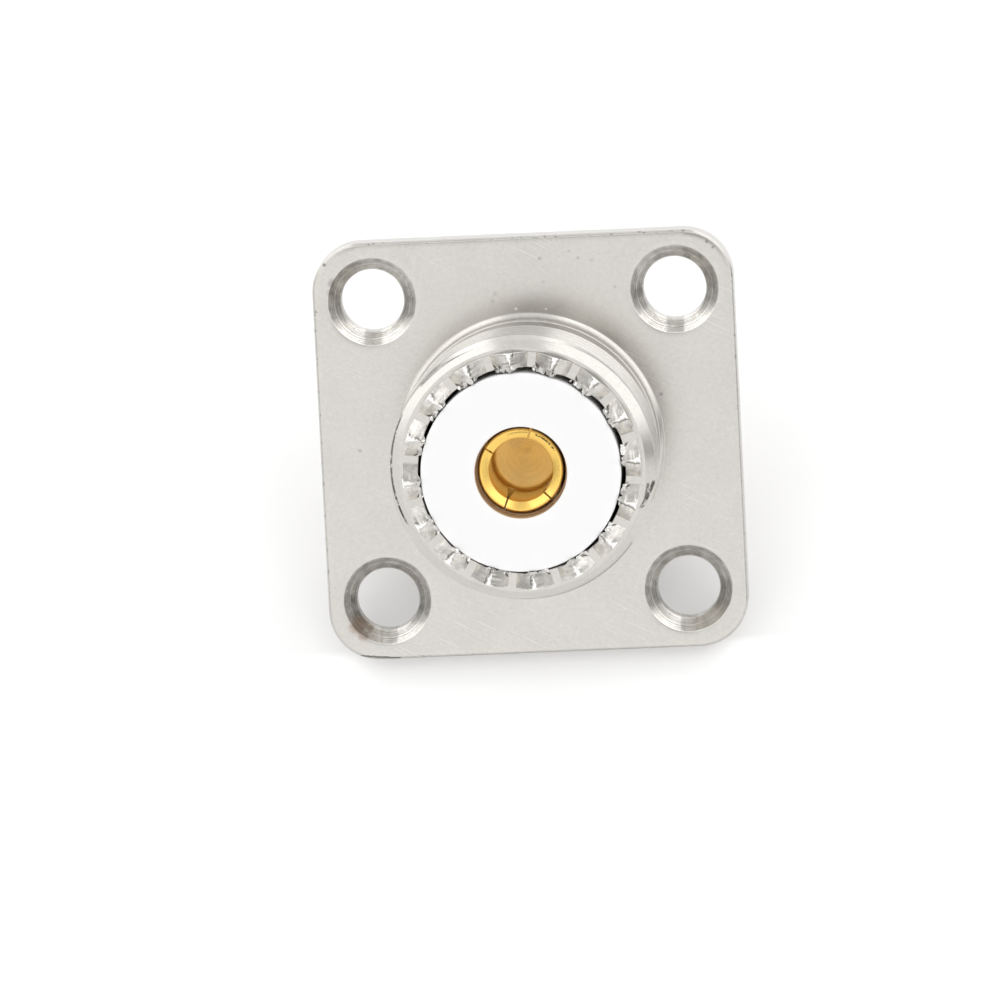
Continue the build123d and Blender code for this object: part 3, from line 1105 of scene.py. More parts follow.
class NodeWeb:
    """Adds nodes to a tree and links them; an input is a constant, a value or a node's socket."""

    def __init__(self, tree: bpy.types.NodeTree) -> None:
        """Keeps the tree to work on."""
        self.tree = tree

    def add(self, kind: str, inputs: dict | None = None, **settings: object) -> bpy.types.Node:
        """Adds one node.

        Args:
            kind: the node's type.
            inputs: what goes in, by the input's name or number.
            settings: the node's own properties.

        Returns:
            The node.
        """
        node = self.tree.nodes.new(kind)
        for key, value in settings.items():
            setattr(node, key, value)
        for key, value in (inputs or {}).items():
            self.feed(node.inputs[key], value)
        return node

    def feed(self, target: bpy.types.NodeSocket, value: object) -> None:
        """Links a value or a socket to an input, or sets the input to a constant.

        Args:
            target: the input.
            value: what goes in.
        """
        if isinstance(value, Value):
            value = value.socket
        if isinstance(value, bpy.types.NodeSocket):
            self.tree.links.new(value, target)
        else:
            target.default_value = value

    def value(self, kind: str, inputs: dict | None = None, output: int | str = 0, **settings: object) -> Value:
        """Adds one node and gives one of its outputs."""
        return Value(self, self.add(kind, inputs, **settings).outputs[output])

    def math(self, operation: str, *values: Value | float) -> Value:
        """Adds a maths node and gives its result."""
        return self.value("ShaderNodeMath", dict(enumerate(values)), operation=operation)

    def vector(self, operation: str, *values: Value | tuple) -> Value:
        """Adds a vector maths node and gives its result."""
        output = "Value" if operation in ("LENGTH", "DOT_PRODUCT") else "Vector"
        return self.value("ShaderNodeVectorMath", dict(enumerate(values)), output, operation=operation)

    def combine(self, *parts: Value | float) -> Value:
        """Makes a vector of its first parts; the others are 0."""
        return self.value("ShaderNodeCombineXYZ", dict(enumerate(parts)))

    def separate(self, vector: Value) -> tuple[Value, ...]:
        """Gives a vector's three parts."""
        return tuple(Value(self, part) for part in self.add("ShaderNodeSeparateXYZ", {0: vector}).outputs)

    def away(self, flat: Value, x: float, y: float) -> Value:
        """Gives the distance from a place across the axis."""
        return self.vector("LENGTH", self.vector("SUBTRACT", flat, (x, y, 0)))

    def noise(self, vector: Value, scale: Value | float, detail: float, roughness: float = 0.5) -> Value:
        """Adds soft noise between 0 and 1."""
        inputs = {"Vector": vector, "Scale": scale, "Detail": detail, "Roughness": roughness}
        return self.value("ShaderNodeTexNoise", inputs, "Fac")

    def bearing(self, point: Value, start: float) -> Value:
        """Gives the angle about the axis, in degrees from the start, between -180 and 180."""
        x, y, _ = self.separate(point)
        return (self.math("ARCTAN2", y, x) * (360 / TURN) - start).wrap(180.0)

    def blend(self, share: Value | float, first: object, second: object, mode: str = "MIX") -> Value:
        """Mixes or multiplies two colours by a share."""
        inputs = {0: share, 6: first, 7: second}
        return self.value("ShaderNodeMix", inputs, 2, data_type="RGBA", blend_type=mode)

    def ramp(self, value: Value, stops: tuple) -> Value:
        """Reads a value off a row of stops.

        Args:
            value: the place on the row, 0 to 1.
            stops: (place, grey) pairs in order.

        Returns:
            The grey.
        """
        node = self.add("ShaderNodeValToRGB", {"Fac": value})
        band = node.color_ramp
        band.interpolation = "EASE"
        for place, _ in stops[2:]:
            band.elements.new(place)
        for element, (place, grey) in zip(band.elements, stops):
            element.position = place
            element.color = (grey, grey, grey, 1)
        return Value(self, node.outputs[0])


def open_nodes(owner: bpy.types.Material | bpy.types.World) -> NodeWeb:
    """Empties the nodes of a material or a world.

    Args:
        owner: the material or the world.

    Returns:
        Its node web.
    """
    owner.use_nodes = True
    owner.node_tree.nodes.clear()
    return NodeWeb(owner.node_tree)


class Effects:
    """The patterns that several finishes share, each a node group that gives masks or values."""

    def __init__(self) -> None:
        """Makes each group once."""
        self.mottle = self.make_mottle()
        self.turning = self.make_turning()
        self.scratches = self.make_scratches()

    def open_group(self, name: str, inputs: dict[str, float], outputs: list[str]) -> tuple:
        """Starts a group that takes a vector in millimetres and some values.

        Args:
            name: the group's name.
            inputs: the value inputs and their defaults.
            outputs: the names of its value outputs.

        Returns:
            The group's node web, its inputs by name and its outputs' sockets by name.
        """
        group = bpy.data.node_groups.new(name, "ShaderNodeTree")
        group.interface.new_socket("Vector", in_out="INPUT", socket_type="NodeSocketVector")
        for key, value in inputs.items():
            socket = group.interface.new_socket(key, in_out="INPUT", socket_type="NodeSocketFloat")
            socket.default_value = value
        for key in outputs:
            group.interface.new_socket(key, in_out="OUTPUT", socket_type="NodeSocketFloat")
        web = NodeWeb(group)
        source = web.add("NodeGroupInput").outputs
        given = {key: Value(web, source[key]) for key in ["Vector", *inputs]}
        return web, given, web.add("NodeGroupOutput").inputs

    def make_mottle(self) -> bpy.types.NodeTree:
        """Cloudy variation about 0, from broad patches and fine grain.

        Returns:
            The group.
        """
        web, given, result = self.open_group("mottle", {"Scale": 0.6, "Grain": 9.0}, ["Cloud", "Grain"])
        for scale, name, detail in (("Scale", "Cloud", 3.0), ("Grain", "Grain", 2.0)):
            noise = web.noise(given["Vector"], given[scale], detail, 0.6)
            web.feed(result[name], noise - 0.5)
        return web.tree

    def make_turning(self) -> bpy.types.NodeTree:
        """Tool rings: noise read along the distance from the axis and the level only.

        Returns:
            The group.
        """
        web, given, result = self.open_group("turning", {"Scale": 7.0, "Waver": 0.15}, ["Height"])
        x, y, z = web.separate(given["Vector"])
        along = (web.vector("LENGTH", web.combine(x, y)) + z * 1.37) * given["Scale"]
        turned = web.math("ARCTAN2", y, x) * given["Waver"]
        web.feed(result["Height"], web.noise(web.combine(along, turned), 1.0, 3.0, 0.65))
        return web.tree

    def make_scratches(self) -> bpy.types.NodeTree:
        """Fine straight scratches along the pattern's own X, kept where a second noise is high.

        Returns:
            The group.
        """
        web, given, result = self.open_group("scratches", {"Across": 14.0, "Along": 0.5, "Share": 0.6}, ["Mask"])
        x, y, z = web.separate(given["Vector"])
        drawn = web.combine(x * given["Along"], y * given["Across"], z)
        line = web.noise(drawn, 1.0, 2.0).rise(0.58, 0.72)
        kept = web.noise(given["Vector"], 0.25, 1.0).rise(given["Share"], 0.75)
        web.feed(result["Mask"], line * kept)
        return web.tree


@dataclass(frozen=True)
class Place:
    """Where a point of a piece lies, in millimetres, for the shader's formulas."""

    point: Value
    flat: Value
    radius: Value
    level: Value


@dataclass(frozen=True)
class Finish:
    """A surface finish; each kind fills in its own tree."""

    name: str
    colour: tuple[float, float, float]
    roughness: float

    def make(self, effects: Effects) -> bpy.types.Material:
        """Makes the material.

        Args:
            effects: the shared patterns.

        Returns:
            The material.
        """
        material = bpy.data.materials.new(self.name)
        web = open_nodes(material)
        plain = {"Base Color": (*self.colour, 1), "Roughness": self.roughness}
        shader = web.add("ShaderNodeBsdfPrincipled", plain)
        web.add("ShaderNodeOutputMaterial", {"Surface": shader.outputs[0]})
        self.fill(web, shader, effects)
        return material

    def place(self, web: NodeWeb) -> Place:
        """Gives the piece's own coordinates in millimetres.

        Args:
            web: the material's nodes.

        Returns:
            The point, its place across the axis, its distance from the axis and its level.
        """
        own = web.value("ShaderNodeTexCoord", output="Object")
        point = web.value("ShaderNodeMapping", {"Vector": own, "Scale": (1 / MM, 1 / MM, 1 / MM)})
        x, y, level = web.separate(point)
        flat = web.combine(x, y)
        return Place(point, flat, web.vector("LENGTH", flat), level)

    def pattern(self, web: NodeWeb, tree: bpy.types.NodeTree, point: Value, **inputs: float) -> dict[str, Value]:
        """Places a shared pattern and gives its outputs by name."""
        node = web.add("ShaderNodeGroup", {"Vector": point, **inputs}, node_tree=tree)
        return {socket.name: Value(web, socket) for socket in node.outputs}

    def bump(self, web: NodeWeb, shader: bpy.types.Node, height: Value, strength: float) -> None:
        """Roughens the shader's normal by a height of 0.02 mm for each 1."""
        inputs = {"Height": height, "Strength": strength, "Distance": 0.02 * MM}
        web.feed(shader.inputs["Normal"], web.value("ShaderNodeBump", inputs))

    def dots(self, web: NodeWeb, flat: Value, grain: Value, table: tuple) -> Value:
        """Finds round marks with ragged edges.

        Args:
            web: the material's nodes.
            flat: the point's place across the axis.
            grain: fine variation about 0.
            table: (x, y, size, strength) of each mark.

        Returns:
            The mask, the marks' strengths at their middles.
        """
        masks = []
        for x, y, size, strength in table:
            away = web.away(flat, x, y) + grain * (0.6 * size)
            masks.append(away.fall(0.35 * size, size) * strength)
        return reduce(Value.larger, masks)

    def fill(self, web: NodeWeb, shader: bpy.types.Node, effects: Effects) -> None:
        """Leaves the plain colour and roughness as they are."""


@dataclass(frozen=True)
class PlatedNickel(Finish):
    """Bright nickel plate over machined brass, with painted highlights on its burrs, painted shade in its creases,
    thread backs and countersinks, stains and tool rings.

    Lengths are in millimetres and angles in degrees. The thread is given by its foot, pitch and
    phase, a spot, painted glint or stain by x, y, size and strength, a stroke by its start, end, size and
    strength, and a dark line or streak by its bearing and radius, with the bearings that it spans.
    """

    hole_centre: float = 9.12
    sink_radius: float = 2.68
    turned_radius: float = 8.1
    front: float = 1.9
    edge: float = 12.52
    first_valley: float = 14.8
    valley_step: float = 22.5
    bore: float = 6.17
    crown: float = 7.1
    floor_level: float = 12.25
    tip: float = 13.0
    thread: tuple[float, float, float] = (5.5, 25.4 / 24, 0.2)
    groove_radii: tuple[float, float] = (7.2, 7.86)
    groove_levels: tuple[float, float] = (5.6, 11.2)
    back_share: tuple[float, float] = (0.09, 0.43)
    flake_angles: tuple[float, float] = (-6.8, -1.8)
    crease_angle: float = -3.2
    crest_angle: float = 7.0
    sink_highlight_gain: float = 0.8
    sink_levels: tuple[float, float] = (-1.9, -0.8)
    sink_middle: tuple[float, float] = (-0.5, 0.4)
    left_shade_line: tuple[float, float] = (180.0, 7.79)
    left_span: tuple[float, float] = (-24.0, 20.0)
    right_streak: tuple[float, float] = (-14.0, 7.63)
    right_span: tuple[float, float] = (-5.5, 5.5)
    lower_radii: tuple[float, float] = (7.44, 7.58)
    lower_span: tuple[float, float] = (-4.5, 4.5)
    rim_levels: tuple[float, float] = (11.2, 11.4)
    cloudiness: float = 0.18
    graininess: float = 0.14
    patchiness: float = 0.12
    scratch_shine: float = 0.14
    back_shade_strength: float = 0.35
    # The colour of the painted highlights.
    highlight_paint: tuple[float, float, float] = (0.95, 0.94, 0.92)
    # The dark colour of the painted shadows and of the marks.
    soil_and_shade: tuple[float, float, float] = (0.07, 0.062, 0.055)
    rust: tuple[float, float, float] = (0.40, 0.30, 0.24)
    spots: tuple = ((-11.46, 10.38, 0.36, 0.35), (-11.61, 9.77, 0.30, 0.22), (-11.88, 11.49, 0.14, 0.6),
                    (-12.52, 8.66, 0.12, 0.4), (8.02, 2.79, 0.16, 0.35), (11.2, 11.9, 0.13, 0.4),
                    (11.55, 11.55, 0.12, 0.4), (1.12, 11.32, 0.16, 0.22), (2.88, 11.69, 0.14, 0.18),
                    (3.4, 11.26, 0.14, 0.16), (4.26, 11.11, 0.13, 0.14), (1.29, 9.9, 0.13, 0.12),
                    (-1.68, 9.29, 0.2, 0.14), (-1.84, 8.86, 0.18, 0.12), (5.56, 9.41, 0.16, 0.16),
                    (-10.3, 0.1, 0.15, 0.25))
    # The glints are painted highlight dots above the barrel.
    glints: tuple = ((-0.46, 8.32, 0.13, 1.0), (1.35, 8.24, 0.12, 1.0), (0.5, 8.22, 0.06, 0.6))
    stains: tuple = ((-10.95, -10.6, 0.75, 0.8), (-10.7, -11.2, 0.45, 0.6), (-10.3, -10.9, 0.35, 0.6))
    strokes: tuple = (((-11.86, -12.33), (-8.54, -12.65), 0.07, 0.75),
                      ((10.6, -12.68), (12.2, -12.05), 0.06, 0.5))

    def crown_painted_light(self, web: NodeWeb, place: Place, patches: Value) -> tuple[Value, Value]:
        """Finds the crown's painted highlights and painted shadows.

        Crests, the crown's outer top edge and bent flakes get a painted highlight; a painted shadow lies
        in a crease beside each flake and along each crest. The angle is folded so that every valley has the same
        marks, and the patches vary them.

        Args:
            web: the material's nodes.
            place: where the point lies.
            patches: cloudy variation about 0.

        Returns:
            The painted highlight mask and the painted shadow mask.
        """
        radius, level = place.radius, place.level
        local = web.bearing(place.point, self.first_valley).wrap(self.valley_step / 2)
        on_crown = level.rise(self.floor_level - 0.01, self.floor_level + 0.05)
        on_crown = on_crown * radius.window(self.bore - 0.4, self.crown, 0.02)
        crest = level.rise(self.tip - 0.03, self.tip - 0.012)
        head = radius.rise(self.crown - 0.10, self.crown - 0.05) * level.rise(self.tip - 0.16, self.tip - 0.10)
        flake = local.window(*self.flake_angles, 0.6) * radius.window(self.bore - 0.34, self.bore + 0.07, 0.05)
        flake = flake * patches.rise(-0.12, 0.0)
        aside = (local - self.crease_angle) * (TURN / 360 * (self.bore + 0.3))
        inward = radius - (self.bore + 0.19) - aside * 0.9
        near = web.vector("LENGTH", web.combine(aside, inward * 1.7)) + patches * 0.3
        crease = near.fall(0.07, 0.17)
        beside = local.rise(self.crest_angle, self.crest_angle + 1.0)
        line = level.window(self.tip - 0.13, self.tip - 0.08, 0.02) * beside * patches.rise(-0.06, 0.02)
        # Painted highlight on the crests, the crown's outer top edge and the bent flakes; painted shadow in a
        # crease beside each flake and along each crest.
        bright = crest.larger(head.larger(flake))
        dark = (crease * 0.85).larger(line * 0.65)
        return bright * on_crown, dark * on_crown

    def paint_sink_highlight(self, web: NodeWeb, place: Place) -> Value:
        """Paints a highlight into each countersink's lower half, on both sides of its lowest point.

        Args:
            web: the material's nodes.
            place: where the point lies.

        Returns:
            How much to add.
        """
        x, y = ((part - self.hole_centre).wrap(self.hole_centre) for part in web.separate(place.flat)[:2])
        return y.fall(*self.sink_levels) * (self.sink_highlight_gain - x.window(*self.sink_middle, 0.15) * 0.4)

    def thread_back_shade(self, web: NodeWeb, place: Place) -> Value:
        """Finds the thread flanks that face the flange, which get painted shade so that they and their reflection
        in the flange look darker.

        The share of a pitch from the groove's middle is (level - foot) / pitch - a / full turn -
        phase, brought back to one pitch.

        Args:
            web: the material's nodes.
            place: where the point lies.

        Returns:
            The mask.
        """
        foot, pitch, phase = self.thread
        turned = web.bearing(place.point, 0.0) / 360.0
        share = (place.level - foot) / pitch - (turned + phase)
        cut = place.radius.window(*self.groove_radii, 0.03) * place.level.window(*self.groove_levels, 0.3)
        return share.wrap(0.5).window(*self.back_share, 0.02) * cut

    def rim_shade_and_streak(self, web: NodeWeb, place: Place, grain: Value) -> Value:
        """Finds a painted shade line by the thread's first edge on the left, and a dark broken streak and patch on
        the right.

        Args:
            web: the material's nodes.
            place: where the point lies.
            grain: fine variation about 0.

        Returns:
            The dark mask.
        """
        radius = place.radius
        # Left: a painted shade line along the outer edge of the barrel's front chamfer.
        start, middle = self.left_shade_line
        left = web.bearing(place.point, start)
        off = radius - (middle - (left * 0.005 + left * left * 0.00013))
        line = off.window(-0.05, 0.045, 0.03) * left.window(*self.left_span, 5.0)
        line = line * grain.rise(-0.14, -0.04) * (left.rise(0.0, 10.0) * 0.2 + 0.8)
        start, middle = self.right_streak
        right = web.bearing(place.point, start)
        streak = (radius - (right * 0.035 + middle)).window(-0.09, 0.08, 0.04) * right.window(*self.right_span, 1.5)
        lower = radius.window(*self.lower_radii, 0.04) * right.window(*self.lower_span, 1.5)
        ticks = web.math("SINE", (right + radius * 9.0) * 7.0)
        broken = (ticks * 0.25 + grain.rise(-0.16, 0.0)).clamp()
        torn = streak.larger(lower * 0.8) * broken
        return line.larger(torn) * place.level.rise(*self.rim_levels)

    def flange_marks(self, web: NodeWeb, place: Place, grain: Value) -> Value:
        """Finds the spots on the flange's front and the lines and specks along its edge.

        Args:
            web: the material's nodes.
            place: where the point lies.
            grain: fine variation about 0.

        Returns:
            The dark mask.
        """
        mask = self.dots(web, place.flat, grain, self.spots)
        for start, end, size, strength in self.strokes:
            way = np.subtract(end, start)
            away = web.vector("SUBTRACT", place.flat, (*start, 0))
            share = (web.vector("DOT_PRODUCT", away, (*way, 0)) / float(way @ way)).clamp()
            off = web.vector("LENGTH", web.vector("SUBTRACT", away, web.vector("MULTIPLY", share, (*way, 0))))
            near = (off + grain * (2.0 * size)).fall(0.5 * size, size)
            mask = mask.larger(near * strength)
        x, y, _ = web.separate(web.vector("ABSOLUTE", place.flat))
        specks = x.larger(y).rise(self.edge, self.edge + 0.05) * grain.rise(0.08, 0.16)
        return mask.larger(specks * 0.35) * place.level.rise(self.front - 0.15, self.front)

    def fill(self, web: NodeWeb, shader: bpy.types.Node, effects: Effects) -> None:
        """Adds the mottling, marks, scratches and rings, with painted highlights and painted shade.

        Args:
            web: the material's nodes.
            shader: its surface shader.
            effects: the shared patterns.
        """
        place = self.place(web)
        cloud = self.pattern(web, effects.mottle, place.point, Scale=0.35, Grain=7.0)
        patches = self.pattern(web, effects.mottle, place.point, Scale=1.5, Grain=3.0)
        turned = place.radius.fall(self.turned_radius - 0.02, self.turned_radius + 0.02)
        from_hole = web.away(web.vector("ABSOLUTE", place.flat), self.hole_centre, self.hole_centre)
        sunk = from_hole.fall(self.sink_radius - 0.05, self.sink_radius)
        rings = self.pattern(web, effects.turning, place.point, Scale=6.0, Waver=0.15)["Height"]
        in_hole = web.combine(from_hole, 0.0, place.level)
        hole_rings = self.pattern(web, effects.turning, in_hole, Scale=5.0, Waver=0.0)["Height"]
        slanted = web.value("ShaderNodeMapping", {"Vector": place.point, "Rotation": (0, 0, 0.5)})
        scratched = self.pattern(web, effects.scratches, slanted, Across=9.0, Along=0.25, Share=0.4)["Mask"]

        bright, dark = self.crown_painted_light(web, place, patches["Cloud"])
        toothed = place.radius.window(self.bore - 0.3, self.crown, 0.02)
        toothed = toothed * place.level.window(self.floor_level + 0.04, self.tip - 0.1, 0.03)
        shade = cloud["Cloud"] * self.cloudiness + cloud["Grain"] * self.graininess
        shade = shade + patches["Grain"] * self.patchiness + scratched * self.scratch_shine
        shade = shade + toothed * (patches["Cloud"] * 1.2 + 0.06)
        # Painted shade on the thread's rear flanks, which also darkens their reflection in the flange.
        shade = shade - self.thread_back_shade(web, place) * self.back_shade_strength
        # Tool chatter rings, with painted shade that darkens the countersinks overall and a painted highlight on
        # their lower halves.
        chatter_and_shade = hole_rings * 2.0 - 1.3 + (patches["Cloud"] + self.paint_sink_highlight(web, place))
        shade = shade + sunk * chatter_and_shade
        base = web.blend(1.0, (*self.colour, 1), shade + 1.0, "MULTIPLY")
        # Painted highlights: the crown's bright marks and the glints above the barrel take a pale colour.
        bright = bright.larger(self.dots(web, place.flat, patches["Grain"], self.glints))
        base = web.blend(bright, base, (*self.highlight_paint, 1))
        base = web.blend(self.dots(web, place.flat, patches["Grain"], self.stains), base, (*self.rust, 1))
        marks = self.rim_shade_and_streak(web, place, patches["Grain"])
        marks = marks.larger(self.flange_marks(web, place, patches["Grain"]))
        # Dark colour: painted shadow in the crown's creases and a painted shade line by the thread's left edge,
        # with the flange's spots, lines and specks and the streak on the right.
        web.feed(shader.inputs["Base Color"], web.blend(marks.larger(dark), base, (*self.soil_and_shade, 1)))
        web.feed(shader.inputs["Roughness"], cloud["Cloud"] * 0.10 + self.roughness)
        height = rings * (turned * 0.8) + hole_rings * (sunk * 8.0)
        height = height + cloud["Grain"] * 0.12 - scratched * 0.2
        self.bump(web, shader, height, 0.35)
        web.feed(shader.inputs["Metallic"], 1.0)


@dataclass(frozen=True)
class WhitePlastic(Finish):
    """Waxy white insulator that lets a little light through, with painted warm light where it faces the gilt
    socket.
    """

    depth: float = 0.3
    warm: tuple[float, float, float] = (0.50, 0.33, 0.18)
    mouth_middle: tuple[float, float] = (-0.05, -0.08)
    mouth_radius: float = 2.74
    mouth_levels: tuple[float, float] = (11.5, 12.79)

    def fill(self, web: NodeWeb, shader: bpy.types.Node, effects: Effects) -> None:
        """Adds a faint grain, and paints into the base colour the warm light that the gilt socket throws on the
        hole's mouth.

        Args:
            web: the material's nodes.
            shader: its surface shader.
            effects: the shared patterns.
        """
        place = self.place(web)
        cloud = self.pattern(web, effects.mottle, place.point, Scale=0.8, Grain=6.0)
        rings = self.pattern(web, effects.turning, place.point, Scale=3.0)["Height"]
        self.bump(web, shader, rings + cloud["Grain"], 0.1)
        # Painted light: the mouth of the hole takes a warm colour for the light that the gilt socket throws on it.
        within = web.away(place.flat, *self.mouth_middle).fall(self.mouth_radius, self.mouth_radius + 0.015)
        warmed = place.level.window(*self.mouth_levels, 0.02) * within
        web.feed(shader.inputs["Base Color"], web.blend(warmed, (*self.colour, 1), (*self.warm, 1)))
        web.feed(shader.inputs["Subsurface Weight"], 1.0)
        web.feed(shader.inputs["Subsurface Radius"], (1.0, 1.0, 1.0))
        web.feed(shader.inputs["Subsurface Scale"], self.depth * MM)


@dataclass(frozen=True)
class Gilding(Finish):
    """Thin gold plate over turned brass, worn at the mouth and bare brass deep in the socket, with painted light on
    the socket's deep wall.
    """

    bare: tuple[float, float, float] = (0.92, 0.62, 0.245)
    # The inner colour is paler than the gold: painted light where the deep wall would fall dark.
    inner: tuple[float, float, float] = (1.0, 0.90, 0.62)
    worn: tuple[float, float, float] = (0.13, 0.09, 0.03)
    smudge: tuple[float, float, float] = (0.62, 0.40, 0.26)
    wall_radii: tuple[float, float] = (2.02, 2.06)
    wall_levels: tuple[float, float] = (9.5, 11.6)
    floor_levels: tuple[float, float] = (6.95, 7.1)
    smudges: tuple = ((-0.15, 1.35, 0.45, 0.7), (-0.6, 0.9, 0.6, 0.3))
    wear_radius: float = 2.24
    wear_bearing: float = 47.0

    def mouth_wear(self, web: NodeWeb, place: Place, grain: Value) -> Value:
        """Finds the broken dark line that a pin scraped round part of the mouth.

        Args:
            web: the material's nodes.
            place: where the point lies.
            grain: fine variation about 0.

        Returns:
            The dark mask.
        """
        bearing = web.bearing(place.point, self.wear_bearing)
        line = (place.radius + grain * 0.12).window(self.wear_radius - 0.04, self.wear_radius + 0.04, 0.025)
        main = bearing.window(-16.0, 18.0, 4.0)
        faint = bearing.window(32.0, 58.0, 8.0) * 0.6
        return line * main.larger(faint) * grain.rise(-0.10, 0.0) * place.level.rise(11.7, 11.8)

    def fill(self, web: NodeWeb, shader: bpy.types.Node, effects: Effects) -> None:
        """Adds tool rings, scratches, wear and painted light on the socket's deep wall.

        Args:
            web: the material's nodes.
            shader: its surface shader.
            effects: the shared patterns.
        """
        place = self.place(web)
        cloud = self.pattern(web, effects.mottle, place.point, Scale=0.9, Grain=10.0)
        rings = self.pattern(web, effects.turning, place.point, Scale=6.0, Waver=0.5)["Height"]
        scratched = self.pattern(web, effects.scratches, place.point, Across=9.0, Along=1.2, Share=0.45)["Mask"]
        behind = place.level.fall(*self.wall_levels) * place.level.rise(0.0, 1.0)
        deep = place.radius.fall(*self.wall_radii) * behind
        bottom = deep * place.level.fall(*self.floor_levels)
        # Painted light: the deep wall of the socket takes the paler inner colour.
        tone = web.blend(deep, (*self.colour, 1), (*self.inner, 1))
        tone = web.blend(bottom, tone, (*self.bare, 1))
        smudged = bottom * self.dots(web, place.flat, cloud["Cloud"], self.smudges)
        tone = web.blend(smudged, tone, (*self.smudge, 1))
        ringed = (rings - 0.5) * (bottom * 0.3)
        shade = cloud["Cloud"] * 0.2 + 1.0 + ringed + cloud["Grain"] * 0.25 - scratched * 0.25
        tone = web.blend(1.0, tone, shade, "MULTIPLY")
        wear = self.mouth_wear(web, place, cloud["Grain"])
        web.feed(shader.inputs["Base Color"], web.blend(wear, tone, (*self.worn, 1)))
        web.feed(shader.inputs["Roughness"], cloud["Cloud"] * 0.15 + self.roughness + bottom * 0.25)
        height = rings * (1.2 - bottom) + cloud["Grain"] * 0.4 - scratched * 0.3
        self.bump(web, shader, height, 0.4)
        web.feed(shader.inputs["Metallic"], 1.0)


